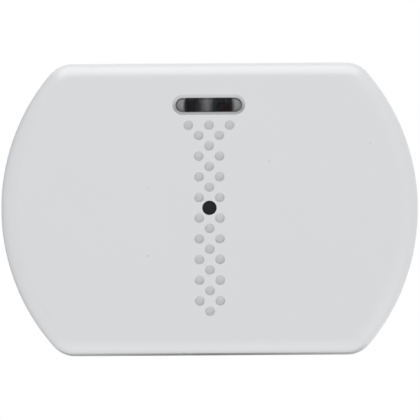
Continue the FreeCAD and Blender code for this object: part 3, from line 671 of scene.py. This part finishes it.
def make_board_green():
    """Green lacquer over copper tracks, with white outlines printed round the parts."""
    made, tree, shader = material("board green")
    lacquer, over_track = (0.022, 0.15, 0.06, 1), (0.055, 0.27, 0.11, 1)
    plated, print_white = (0.50, 0.48, 0.38, 1), (0.72, 0.72, 0.70, 1)
    effect = use(tree, MOULDED, Color=lacquer, Drift=0.08, Grain_Size=0.3, Specks=0.05,
                 Roughness=0.32)
    tracks = use(tree, build_board_tracks())
    spot = axes(place_on_piece(tree))

    def past(axis, middle, size):
        """How far a point lies outside a stretch along one axis."""
        off = size_of(minus(spot[axis], middle * MM))
        return minus(off, size / 2 * MM)

    printed = 0.0
    for x, z, w, h in PRINTED_OUTLINES:
        edge = size_of(larger(past(0, x, w), past(2, z, h)))
        line = less(edge, PRINT_HALF_T * MM)
        printed = larger(printed, line)
    colour = blend(tracks.outputs["Tracks"], effect.outputs["Color"], over_track)
    colour = blend(tracks.outputs["Holes"], colour, plated)
    colour = blend(printed, colour, print_white)
    raised = larger(printed, tracks.outputs["Tracks"])
    bump = add(tree, "ShaderNodeBump", Height=raised, Strength=0.3, Distance=0.03 * MM)
    give(shader, Base_Color=colour, Roughness=effect.outputs["Roughness"], Normal=bump,
         Coat_Weight=0.4, Coat_Roughness=0.15)
    return made


def make_capacitor_can():
    """The capacitors' aluminium, with the black segment on top that marks their negative side."""
    made = metal("capacitor can", (0.68, 0.69, 0.70), tarnish=0.15)
    tree = made.node_tree
    shader = tree.nodes["Principled BSDF"]
    mark_black = (0.03, 0.03, 0.035, 1)
    mark_half_w, mark_y = 2.5, BOARD_Y - 6.6
    spot = axes(place_on_piece(tree))
    aside = size_of(minus(spot[0], CANS_X * MM))
    mark = times(less(aside, mark_half_w * MM), less(spot[1], mark_y * MM))
    bare = shader.inputs["Base Color"].links[0].from_socket
    give(shader, Base_Color=blend(mark, bare, mark_black), Metallic=minus(1.0, mark))
    return made


def make_finishes():
    """All finishes, each by the name of its slot or, where it is a second finish, by its own."""
    made = {}
    for kind, rows in ((plastic, PLASTICS), (metal, METALS)):
        for slot, row in rows.items():
            made[slot] = kind(slot.replace("_", " "), *row)
    give(made["case_white"].node_tree.nodes["Principled BSDF"], Specular_IOR_Level=0.35)
    made["smoked_lens"] = make_smoked_lens()
    made["ring_shade"] = make_ring_shade()
    made["shaft_shade"] = make_shaft_shade()
    made["mesh_black"] = make_port_cloth()
    made["board_green"] = make_board_green()
    made["capacitor_can"] = make_capacitor_can()
    return made


FINISHES = make_finishes()


# Front cover, window and light block

def cup_profile():
    """Radius and depth of a dimple from its lip down to its floor."""
    lip = [(DIMPLE_R + DIMPLE_LIP - DIMPLE_LIP * math.sin(a), DIMPLE_LIP - DIMPLE_LIP * math.cos(a))
           for a in [math.radians(d) for d in (0, 22, 45, 67, 90)]]
    foot_r, foot_depth = DIMPLE_R - DIMPLE_FOOT, DIMPLE_DEPTH - DIMPLE_FOOT
    return lip + arc(foot_r, foot_depth, DIMPLE_FOOT, 0, 90, 3)


def dimple_cup():
    bm = bmesh.new()
    rings = [ring_at(bm, circle(r, DIMPLE_SIDES), FRONT_Y + depth) for r, depth in cup_profile()]
    skin(bm, rings)
    middle = bm.verts.new((0, FRONT_Y + DIMPLE_DEPTH, 0))
    last = rings[-1]
    for i in range(len(last)):
        bm.faces.new((last[i - 1], last[i], middle))
    return plain_mesh("dimple cup", bm)


def build_dimple_lattice():
    """Copies of one cup on a lattice: two abreast, then one, a wider top row and no cup at the port.

    Rows and columns are whole numbers, and each test sets its limit half way between two of them.
    """
    tree, given, out = new_group(
        "dimple lattice", "GeometryNodeTree",
        [("Geometry", "Geometry", None), ("Pitch", "Float", DIMPLE_PITCH), ("Rows", "Int", ROWS),
         ("Lowest Row", "Int", LOWEST_ROW), ("Columns", "Int", COLUMNS),
         ("Finish", "Material", None)],
        [("Geometry", "Geometry")])
    pitch = given["Pitch"]
    rows = given["Rows"]
    columns = given["Columns"]
    lowest = given["Lowest Row"]
    tall = times(pitch, minus(rows, 1.0))
    wide = times(pitch, minus(columns, 1.0))
    grid = add(tree, "GeometryNodeMeshGrid", Size_X=wide, Size_Y=tall, Vertices_X=columns,
               Vertices_Y=rows)
    lift = plus(over(tall, 2.0), times(pitch, lowest))
    shift = add(tree, "ShaderNodeCombineXYZ", Z=lift)
    upright = add(tree, "GeometryNodeTransform", Geometry=grid, Translation=shift,
                  Rotation=(math.pi / 2, 0, 0))
    spot = axes(add(tree, "GeometryNodeInputPosition"))
    column = nearest(over(spot[0], pitch))
    row = nearest(over(spot[2], pitch))
    odd = maths("FLOORED_MODULO")(plus(column, row), 2.0)
    out_of_step = more(odd, 0.5)
    top = plus(lowest, minus(rows, 1.5))
    outer = more(size_of(column), 1.5)
    spare = times(outer, less(row, top))
    away = plus(size_of(column), size_of(row))
    port = less(away, 0.5)
    drop = plus(plus(out_of_step, spare), port)
    left = add(tree, "GeometryNodeDeleteGeometry", Geometry=upright, Selection=more(drop, 0.5))
    cups = add(tree, "GeometryNodeInstanceOnPoints", Points=left, Instance=given["Geometry"])
    hand_out(out, cups, given["Finish"])
    return tree


def grow(source, tree, **inputs):
    """Runs a tree on a mesh and returns what it makes as a plain mesh."""
    holder = in_scene("holder", source)
    modifier = holder.modifiers.new("tree", "NODES")
    modifier.node_group = tree
    for item in tree.interface.items_tree:
        label = item.name.replace(" ", "_")
        if item.in_out == "INPUT" and label in inputs:
            modifier[item.identifier] = inputs[label]
    made = mesh_with_modifiers(holder)
    bpy.data.objects.remove(holder)
    return made


def dimple_places():
    """Middles of the dimples, the same as the lattice's."""
    places = []
    for row in range(LOWEST_ROW, TOP_ROW + 1):
        for column in range(-OUTER_COLUMN, OUTER_COLUMN + 1):
            near = abs(column) < OUTER_COLUMN or row == TOP_ROW
            if near and (row + column) % 2 == 0 and (row or column):
                places.append((column * DIMPLE_PITCH, row * DIMPLE_PITCH))
    return places


def hook_profile():
    """Side view of a hook, as y and z: arm under the top wall and lip behind the bar."""
    root_y = PART_Y - HOOK_L
    lip = math.degrees(math.asin(HOOK_LIP / HOOK_REACH))
    throat = math.degrees(math.asin(HOOK_LIP / THROAT_R))
    end = math.degrees(math.asin(LIP_T / THROAT_R))
    return ([(root_y, HALF_H - LIP_T), (root_y, HALF_H - HOOK_REACH)]
            + arc(PART_Y, HALF_H, HOOK_REACH, -90, -lip, 14)
            + arc(PART_Y, HALF_H, THROAT_R, -throat, end - 180, 16))


def cover_walls(bm):
    """Front round, walls with their rabbet and inner round, open at the release slot."""
    inner_r = EDGE_R - WALL
    front = arc(EDGE_R, FRONT_Y + EDGE_R, EDGE_R, 270, 180, EDGE_STEPS)
    back = arc(EDGE_R, INSIDE_Y + inner_r, inner_r, 180, 270, INNER_EDGE_STEPS)
    mouth = [(0, SLOT_Y), (0, MOUTH_Y - MOUTH_EDGE), (MOUTH_EDGE, MOUTH_Y), (LIP_T, MOUTH_Y),
             (LIP_T, RABBET_Y), (WALL, RABBET_Y), (WALL, SLOT_Y)]
    rings = [ring_at(bm, case_outline(inset), y) for inset, y in front + mouth + back]
    first = len(front)
    last = first + len(mouth) - 1
    slot = case_outline(0).index((-SLOT_HALF_W, -HALF_H))
    for level, (a, b) in enumerate(zip(rings, rings[1:])):
        bridge(bm, a, b, slot if first <= level < last else None)
    left, right = [[rings[level][slot + side] for level in range(first, last + 1)] for side in (0, 1)]
    bm.faces.new(left)
    bm.faces.new(right)
    bm.faces.new((left[0], right[0], right[-1], left[-1]))


# how far outside its opening each loop of the window's ring and of the port lies, and how deep
WINDOW_EDGE = ((WINDOW_RING + 0.12, 0), (WINDOW_RING + 0.04, 0.03), (WINDOW_RING - 0.03, 0.11),
               (0.10, WINDOW_RING_DEPTH - 0.06), (0.03, WINDOW_RING_DEPTH - 0.01),
               (0.0, WINDOW_RING_DEPTH + 0.06), (0.0, FRONT_WALL))
PORT_EDGE = ((0.16, 0), (0.1, 0.02), (0.03, 0.08), (0.0, 0.18), (0.0, FRONT_WALL))


def cover_face(bm):
    """Window ring and port, the face round them with its dimples, and the face's inside."""
    ring_loops = [(pill(WINDOW_W + 2 * out, WINDOW_H + 2 * out), depth) for out, depth in WINDOW_EDGE]
    port_loops = [(circle(PORT_R + out, PORT_SIDES), depth) for out, depth in PORT_EDGE]
    openings = (ring_loops, port_loops)
    chains = [[ring_at(bm, loop, FRONT_Y + depth) for loop, depth in loops] for loops in openings]
    for chain in chains:
        skin(bm, chain)
    lips = [circle(DIMPLE_R + DIMPLE_LIP, DIMPLE_SIDES, x, z) for x, z in dimple_places()]
    sheet_with_holes(bm, case_outline(EDGE_R), [loops[0][0] for loops in openings] + lips, FRONT_Y)
    sheet_with_holes(bm, case_outline(EDGE_R), [loops[-1][0] for loops in openings], INSIDE_Y)
    cups = grow(dimple_cup(), build_dimple_lattice(), Pitch=DIMPLE_PITCH, Rows=ROWS,
                Lowest_Row=LOWEST_ROW, Columns=COLUMNS, Finish=FINISHES["dimple_shade"])
    bm.from_mesh(cups)


def cover_ribs(bm):
    """Hooks, cell ribs and stiffening ribs on both sides, window rails, and the tamper switch's post."""
    root = INSIDE_Y - RIB_ROOT
    for s in (-1, 1):
        prism(bm, hook_profile(), "x", s * (HOOK_X - HOOK_W / 2), s * (HOOK_X + HOOK_W / 2))
        for x in CELL_RIBS_X:
            block(bm, s * x, s * (x + RIB_T), root, CELL_Y - CELL_R - 2 * FIT,
                  CELL_Z - CELL_R / 2, CELL_Z + CELL_R / 2)
        for x in STIFFENERS_X:
            block(bm, s * x, s * (x + RIB_T), root, INSIDE_Y + STIFFENER_H, STIFFENER_LOW, WINDOW_Z)
        rail = WINDOW_Z + s * (FLANGE_HALF_H + FIT)
        low, high = sorted((rail, rail + s * RAIL_T))
        block(bm, -FLANGE_HALF_W, FLANGE_HALF_W, root, FLANGE_Y, low, high)
    # the two ribs of the post end at different depths, so that their tips don't share a plane
    arm = PLUNGER_W / 2 + RIB_T
    half = RIB_T / 2
    tip = PLUNGER_TIP_Y - SEAT
    block(bm, TAMPER_X - arm, TAMPER_X + arm, root, tip, TAMPER_Z - half, TAMPER_Z + half)
    block(bm, TAMPER_X - half, TAMPER_X + half, root, tip - 0.1, TAMPER_Z - arm, TAMPER_Z + arm)


def cover_finish(x, y, z, _):
    """1 in the slope round the window, 2 in a dimple, 0 on the rest of the cover."""
    if not FRONT_Y + 0.04 < y < FRONT_Y + 1.2:
        return 0
    if (abs(x) < WINDOW_W / 2 + WINDOW_RING + 0.1
            and abs(z - WINDOW_Z) < WINDOW_H / 2 + WINDOW_RING + 0.02):
        return 1
    if any(math.hypot(x - a, z - b) < DIMPLE_R + 0.01 for a, b in dimple_places()):
        return 2
    return 0


def front_cover():
    bm = bmesh.new()
    cover_walls(bm)
    cover_face(bm)
    cover_ribs(bm)
    slots = ("case_white", "ring_shade", "dimple_shade")
    soften(built_piece("cover_shell", bm, "cover", "front_cover", slots, cover_finish), CASE_SHARP)


def window_lens():
    """Pill with a soft edge on a plain flange."""
    bm = bmesh.new()
    soft_edge = ((0.45, 0.0), (0.2, 0.05), (0.05, 0.2), (0.0, 0.45))
    rings = []
    for inset, depth in (*soft_edge, (0.0, FLANGE_Y - FLANGE_T - LENS_Y)):
        loop = pill(WINDOW_W - FIT - 2 * inset, WINDOW_H - FIT - 2 * inset, 20)
        rings.append(ring_at(bm, loop, LENS_Y + depth))
    skin(bm, rings)
    bm.faces.new(rings[0])
    bm.faces.new(rings[-1])
    block(bm, -FLANGE_HALF_W, FLANGE_HALF_W, FLANGE_Y - FLANGE_T, FLANGE_Y,
          WINDOW_Z - FLANGE_HALF_H, WINDOW_Z + FLANGE_HALF_H)
    soften(built_piece("window_lens", bm, "cover", "led_window", ("smoked_lens",)), CASE_SHARP)


def shaft_outline(x, w, h, sides=32, power=0.75):
    """Outline of a shaft at the height of the window, between an oval and a box."""
    points = []
    for i in range(sides):
        a = 2 * math.pi * (i + 0.5) / sides
        across, up = [math.copysign(abs(part) ** power, part) for part in (math.cos(a), math.sin(a))]
        points.append((x + w / 2 * across, WINDOW_Z + h / 2 * up))
    return points


# middle and width of each light's shaft, and the share of its flare that leans to the right
LIGHT_SHAFTS = ((-4.85, 1.9, 0.5), (3.75, 3.2, -0.2))
# how wide the flare opens on each side, and how deep
SHAFT_FLARE = ((2.1, 0), (2.0, 0.06), (1.6, 0.4), (1.2, 0.85), (0.8, 1.5), (0.4, 2.6), (0.0, 4.5))
FLARE_UP = 0.3


def light_baffle():
    """Block with a flared shaft over each light."""
    bm = bmesh.new()
    front = FLANGE_Y + BAFFLE_GAP
    low, high = WINDOW_Z - BAFFLE_HALF_H, WINDOW_Z + BAFFLE_HALF_H
    outer = [(-BAFFLE_HALF_W, low), (BAFFLE_HALF_W, low),
             (BAFFLE_HALF_W, high), (-BAFFLE_HALF_W, high)]
    mouths, floors = [], []
    for x, w, lean in LIGHT_SHAFTS:
        loops = [shaft_outline(x + lean * out, w + 2 * out, SHAFT_H + 2 * FLARE_UP * out)
                 for out, _ in SHAFT_FLARE]
        levels = [front + depth for _, depth in SHAFT_FLARE]
        loops.append(loops[-1])
        levels.append(BOARD_Y)
        skin(bm, [ring_at(bm, loop, y) for loop, y in zip(loops, levels)])
        mouths.append(loops[0])
        floors.append(loops[-1])
    sheet_with_holes(bm, outer, mouths, front)
    sheet_with_holes(bm, outer, floors, BOARD_Y)
    bridge(bm, ring_at(bm, outer, BOARD_Y), ring_at(bm, outer, front))
    piece = built_piece(
        "light_shafts", bm, "base", "led_baffle", ("baffle_grey", "shaft_shade"),
        lambda x, y, z, n: (abs(x) < BAFFLE_HALF_W - 0.1 and y < BOARD_Y - 0.1
                            and abs(z - WINDOW_Z) < BAFFLE_HALF_H - 0.05))
    soften(piece, CASE_SHARP)


front_cover()
window_lens()
light_baffle()


# Back plate, board and what they carry

def merged_copy(name, node, slot, bevel, second=None, pick=None, body="base"):
    """A CAD node's own mesh, joined up, with soft edges and a second finish where a test holds."""
    bm = bmesh.new()
    bm.from_mesh(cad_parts[node].data)
    bmesh.ops.remove_doubles(bm, verts=bm.verts, dist=1e-6)
    bmesh.ops.dissolve_limit(bm, angle_limit=math.radians(0.5), verts=bm.verts, edges=bm.edges)
    slots = (slot, second) if second else (slot,)
    soften(finished_piece(name, bm, body, node, slots, pick), COPY_SHARP, bevel)


def on_board(y):
    return y > BOARD_Y - PIN_TOP


def faces_front(normal):
    return normal.y < -0.9


merged_copy("wall_tray", "back_plate", "case_white_back", 0.1)
merged_copy("etched_board", "circuit_board", "board_green", 0.05, "board_edge",
            lambda x, y, z, n: abs(n.y) < 0.5)
merged_copy("slotted_screws", "board_screws", "zinc_steel", 0.3)
merged_copy("boot", "mic_boot", "black_rubber", 0.15)
merged_copy("capsule", "mic_capsule", "capsule_metal", 0.2, "capsule_felt",
            lambda x, y, z, n: faces_front(n) and math.hypot(x, z) < FELT_R)
for colour in ("green", "red"):
    merged_copy(colour + "_lamp", colour + "_led", colour + "_lamp", 0.06, "lamp_frame",
                lambda x, y, z, n: y > BOARD_Y - LAMP_FRAME_T)
merged_copy("processor", "main_chip", "chip_black", 0.1, "tinned_steel",
            lambda x, y, z, n: max(abs(x - CHIP_X), abs(z - CHIP_Z)) > CHIP_HALF and on_board(y))
merged_copy("amplifier", "amplifier_chip", "chip_black", 0.1, "tinned_steel",
            lambda x, y, z, n: abs(z - AMP_Z) > AMP_HALF_H and on_board(y))
merged_copy("radio_carrier", "radio_board", "board_dark", 0.04)
merged_copy("radio_can", "radio_shield", "tinned_steel", 0.15)
merged_copy("strip_antenna", "antenna", "copper_wire", 0.05)
merged_copy("crystal_case", "crystal", "crystal_can", 0.3)
merged_copy("tall_capacitors", "electrolytic_capacitors", "capacitor_can", 0.3,
            "capacitor_foot", lambda x, y, z, n: y > BOARD_Y - CAN_FOOT_T)
merged_copy("header_block", "header_body", "header_black", 0.1)
merged_copy("header_posts", "header_pins", "gold_pin", 0.1)
merged_copy("tamper_switch", "tamper_switch_body", "switch_black", 0.08, "tinned_steel",
            lambda x, y, z, n: abs(x - TAMPER_X) > SWITCH_HALF and on_board(y))
merged_copy("tamper_stem", "tamper_plunger", "plunger_white", 0.12, body="plunger")
merged_copy("learn_switch", "learn_button_body", "switch_black", 0.08, "tinned_steel",
            lambda x, y, z, n: (abs(x - BUTTON_X) > SWITCH_HALF and on_board(y)
                                or faces_front(n) and y < BOARD_Y - SWITCH_PLATE))
merged_copy("learn_cap", "learn_button_cap", "button_red", 0.2, body="learn_button")
merged_copy("setting_switch", "dip_switch_body", "dip_blue", 0.1)
for number in (1, 2, 3, 4):
    merged_copy("setting_slider_%d" % number, "dip_slider_%d" % number, "slider_white", 0.06,
                body="slider_%d" % number)
merged_copy("cell_cradle", "cell_holder", "holder_black", 0.12)
for side in ("left", "right"):
    merged_copy("wrapped_cell_" + side, "cell_" + side, "cell_wrap", 0.35, "contact_nickel",
                lambda x, y, z, n: abs(n.x) > 0.5 or math.hypot(y - CELL_Y, z - CELL_Z) < CELL_END_R)
for side in ("left", "right", "link"):
    merged_copy("cell_strip_" + side, "contact_" + side, "contact_nickel", 0.05)


# Small resistors and capacitors, with their solder

SMALL_BODY_HALF_L = 0.55
SMALL_BODY_HALF_W = 0.38
CAP_FROM = 0.5
CAP_TO = 0.79
CAP_HALF_W = 0.4
CAP_PROUD = 0.02
SOLDER_X = 0.8
SOLDER_FOOT = 0.42
SOLDER_RISE = 0.7
# middles of the small parts on the board, as x and z
RESISTORS = [(-12.4, 5.6), (-12.4, 8.8), (-12.4, 12.0), (-23.6, 8.8), (-23.6, 12.0), (-9.6, -3.65),
             (-9.6, -0.45), (26.2, 5.515), (29.4, 5.515)]
CAPACITORS = [(-12.4, 7.2), (-12.4, 10.4), (-9.6, -2.05), (15.0, 20.715), (19.0, 20.715),
              (23.0, 20.715), (27.0, 20.715), (27.4, -7.75)]


def build_solder_joints():
    """A small blunt heap of solder on every point of the mesh it is given."""
    tree, given, out = new_group(
        "solder joints", "GeometryNodeTree",
        [("Geometry", "Geometry", None), ("Foot", "Float", 0.5), ("Height", "Float", 0.3),
         ("Seed", "Int", 5), ("Finish", "Material", None)], [("Geometry", "Geometry")])
    foot = given["Foot"]
    cone = add(tree, "GeometryNodeMeshCone", fill_type="NGON", Vertices=12, Radius_Bottom=foot,
               Radius_Top=times(foot, 0.35), Depth=given["Height"])
    size = add(tree, "FunctionNodeRandomValue", Seed=given["Seed"], at_2=0.85, at_3=1.12)
    put = add(tree, "GeometryNodeInstanceOnPoints", Points=given["Geometry"],
              Instance=cone.outputs["Mesh"], Rotation=(math.pi / 2, 0, 0), Scale=size.outputs[1])
    hand_out(out, put, given["Finish"])
    return tree


SOLDER_JOINTS = build_solder_joints()


def soldered_row(name, node, places, height, slot):
    """Small block parts with a metal cap and a heap of solder at both ends."""
    bm = bmesh.new()
    top = BOARD_Y - height
    spots = []
    for x, z in places:
        block(bm, x - SMALL_BODY_HALF_L, x + SMALL_BODY_HALF_L, top, BOARD_Y - CAP_PROUD,
              z - SMALL_BODY_HALF_W, z + SMALL_BODY_HALF_W)
        for s in (-1, 1):
            block(bm, x + s * CAP_FROM, x + s * CAP_TO, top - CAP_PROUD, BOARD_Y,
                  z - CAP_HALF_W, z + CAP_HALF_W)
            spots.append(Vector((x + s * SOLDER_X, BOARD_Y, z)) * MM)
    points = bpy.data.meshes.new("spots")
    points.from_pydata(spots, [], [])
    heaps = grow(points, SOLDER_JOINTS, Foot=SOLDER_FOOT * MM, Height=SOLDER_RISE * height * MM,
                 Seed=5, Finish=FINISHES["solder"])
    heaps.transform(Matrix.Scale(1 / MM, 4))
    bm.from_mesh(heaps)
    near_x, near_z = SMALL_BODY_HALF_L + 0.01, 0.6
    piece = built_piece(
        name, bm, "base", node, (slot, "solder"),
        lambda x, y, z, n: all(abs(x - cx) > near_x or abs(z - cz) > near_z for cx, cz in places))
    soften(piece, SOLDER_SHARP, 0.03)


soldered_row("soldered_resistors", "chip_resistors", RESISTORS, 0.5, "resistor_black")
soldered_row("soldered_capacitors", "chip_capacitors", CAPACITORS, 0.8, "capacitor_tan")

# the cloth behind the port keeps its own mesh
cloth_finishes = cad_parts["port_mesh"].data.materials
cloth_finishes.clear()
cloth_finishes.append(FINISHES["mesh_black"])


# Stage, light and camera, in metres and degrees

FLOOR_Z = -0.09
FLOOR_HALF_W = 1.2
FLOOR_FRONT = -1.6
FLOOR_BACK = 1.2
FLOOR_WHITE = 0.8        # how far the floor shows plain white, and how far in reflections
FLOOR_MIRRORED = 0.4
# the scrim's place, and the share of the light that it passes
SCRIM_Z = (-HALF_H - 0.4) * MM
SCRIM_FRONT = -23.8 * MM
SCRIM_HALF_W = 39.0 * MM
SCRIM_MIDDLE = 0.42
SCRIM_ENDS = 0.98
# light of the room on the object, every 30 degrees from the front by way of below,
# in the middle plane and, further out, on the left and on the right
ROOM_MIDDLE = (1.52, 1.56, 1.20, 0.40, 0.60, 0.55, 0.60, 0.55, 1.09, 1.31, 0.10, 0.12)
ROOM_LEFT = (0.56, 0.88, 1.26, 1.65, 0.50, 0.25, 0.20, 0.20, 1.25, 1.52, 0.55, 0.10)
ROOM_RIGHT = (0.58, 0.90, 1.30, 1.60, 0.90, 0.50, 0.25, 0.20, 1.15, 1.46, 0.58, 0.10)
ROOM_FULL = 2.0          # light that the full white of a ramp stands for
# the way up in reflections, which leans to the right, and the heights between which dark turns white
REFLECTED_UP = (0.7, 0, 0.714)
HORIZON = (-0.03, 0.012)
BELOW_HORIZON = 0.15
# name, place, width, height, power, in reflections, as light
LAMPS = (("top soft light", (0.0, -0.3, 1.3), 1.4, 1.0, 6.9, False, True),
         ("overhead panel", (0.0, -0.30, 0.87), 1.3, 1.1, 11.5, True, False))
CAMERA_AWAY = 4.0
CAMERA_AIM = (0.0, -0.0142, -0.000145)
CAMERA_AZIMUTH = 0.6
CAMERA_ELEVATION = -1.8
CAMERA_ROLL = -0.36
VIEW_W = 0.10917
SENSOR_W = 36.0


def seen_share(tree, glossy):
    """How far a ray shows white: fully to the camera and through glass, by a share in reflections."""
    path = add(tree, "ShaderNodeLightPath")
    mirrored = times(path.outputs["Is Glossy Ray"], glossy)
    straight = larger(path.outputs["Is Camera Ray"], path.outputs["Is Transmission Ray"])
    return larger(straight, mirrored)


def level_sheet(name, half_w, front, back, z, finish):
    mesh = bpy.data.meshes.new(name)
    mesh.from_pydata([(-half_w, front, z), (half_w, front, z), (half_w, back, z), (-half_w, back, z)],
                     [], [(0, 1, 2, 3)])
    mesh.materials.append(finish)
    return in_scene(name, mesh)


def make_floor():
    """White paper, clear from below, that takes the shadow and gives the object no light."""
    made, tree, shader = material("floor paper")
    mottle = add(tree, "ShaderNodeTexNoise", Vector=place_on_piece(tree), Scale=9.0, Detail=3.0)
    colour = blend(mottle, (0.80, 0.80, 0.80, 1), (0.84, 0.84, 0.84, 1))
    give(shader, Base_Color=colour, Roughness=0.9, Specular_IOR_Level=0.1)
    white = add(tree, "ShaderNodeEmission", Color=(1, 1, 1, 1), Strength=1.0)
    share = times(seen_share(tree, FLOOR_MIRRORED), FLOOR_WHITE)
    top = add(tree, "ShaderNodeMixShader", Fac=share, at_1=shader, at_2=white)
    below = add(tree, "ShaderNodeNewGeometry").outputs["Backfacing"]
    clear = add(tree, "ShaderNodeBsdfTransparent")
    both = add(tree, "ShaderNodeMixShader", Fac=below, at_1=top, at_2=clear)
    give(tree.nodes["Material Output"], Surface=both)
    floor = level_sheet("floor", FLOOR_HALF_W, FLOOR_FRONT, FLOOR_BACK, FLOOR_Z, made)
    floor.visible_diffuse = floor.visible_glossy = floor.visible_shadow = False


def make_scrim():
    """Thin cloth under the case that holds back light from its underside, most in the middle."""
    made, tree, _ = material("scrim cloth")
    aside = size_of(axes(place_on_piece(tree))[0])
    tone = times_plus(over(aside, SCRIM_HALF_W), SCRIM_ENDS - SCRIM_MIDDLE, SCRIM_MIDDLE)
    clear = add(tree, "ShaderNodeBsdfTransparent", Color=tone)
    give(tree.nodes["Material Output"], Surface=clear)
    scrim = level_sheet("underside scrim", SCRIM_HALF_W, SCRIM_FRONT, 0, SCRIM_Z, made)
    scrim.visible_camera = scrim.visible_transmission = False


def make_world():
    """White to the camera, white above a leaning horizon in reflections, and a soft room as light."""
    world = bpy.data.worlds.new("soft room")
    bpy.context.scene.world = world
    world.use_nodes = True
    tree = world.node_tree
    ray = add(tree, "ShaderNodeTexCoord").outputs["Generated"]
    up = add(tree, "ShaderNodeVectorMath", operation="DOT_PRODUCT", at_0=ray, at_1=REFLECTED_UP)
    above = steps(up.outputs["Value"], *HORIZON)
    white = times_plus(above, 1 - BELOW_HORIZON, BELOW_HORIZON)
    x, y, z = axes(ray)
    turn = maths("ARCTAN2")(times(z, -1.0), times(y, -1.0))
    turn = fraction(over(turn, 2 * math.pi))
    rings = []
    for levels in (ROOM_MIDDLE, ROOM_LEFT, ROOM_RIGHT):
        ramp = add(tree, "ShaderNodeValToRGB", Fac=turn)
        stops = ramp.color_ramp.elements
        stops[1].position = 1.0
        for i in range(1, len(levels)):
            stops.new(i / len(levels))
        for stop, level in zip(stops, levels + levels[:1]):
            stop.color = (*[level / ROOM_FULL] * 3, 1)
        rings.append(ramp)
    middle, left, right = rings
    side = blend(more(x, 0.0), left, right)
    room = blend(times(x, x), middle, side)
    room = add(tree, "ShaderNodeVectorMath", operation="SCALE", at_0=room, Scale=ROOM_FULL)
    shown = blend(seen_share(tree, 0.0), white, (1, 1, 1, 1))
    colour = blend(seen_share(tree, 1.0), room, shown)
    give(tree.nodes["Background"], Color=colour, Strength=1.0)


def lamp(name, place, width, height, power, glossy, diffuse):
    """Rectangle of light aimed at the object, out of the camera's sight."""
    data = bpy.data.lights.new(name, "AREA")
    data.shape = "RECTANGLE"
    data.size = width
    data.size_y = height
    data.energy = power
    made = in_scene(name, data)
    made.location = place
    made.rotation_mode = "QUATERNION"
    made.rotation_quaternion = (Vector() - Vector(place)).to_track_quat("-Z", "Y")
    made.visible_camera = False
    made.visible_glossy = glossy
    made.visible_diffuse = diffuse
    made.visible_transmission = glossy


def make_camera():
    azimuth, elevation = math.radians(CAMERA_AZIMUTH), math.radians(CAMERA_ELEVATION)
    data = bpy.data.cameras.new("camera")
    data.lens = SENSOR_W * CAMERA_AWAY / VIEW_W
    data.clip_start = 0.1
    data.clip_end = 20.0
    made = in_scene("camera", data)
    away = Vector((math.sin(azimuth) * math.cos(elevation), -math.cos(azimuth) * math.cos(elevation),
                   math.sin(elevation)))
    made.location = Vector(CAMERA_AIM) + away * CAMERA_AWAY
    made.rotation_euler = (-away).to_track_quat("-Z", "Y").to_euler()
    made.rotation_euler.rotate_axis("Z", math.radians(CAMERA_ROLL))
    bpy.context.scene.camera = made


make_floor()
make_scrim()
make_world()
for settings in LAMPS:
    lamp(*settings)
make_camera()

scene = bpy.context.scene
scene.view_settings.view_transform = "Standard"
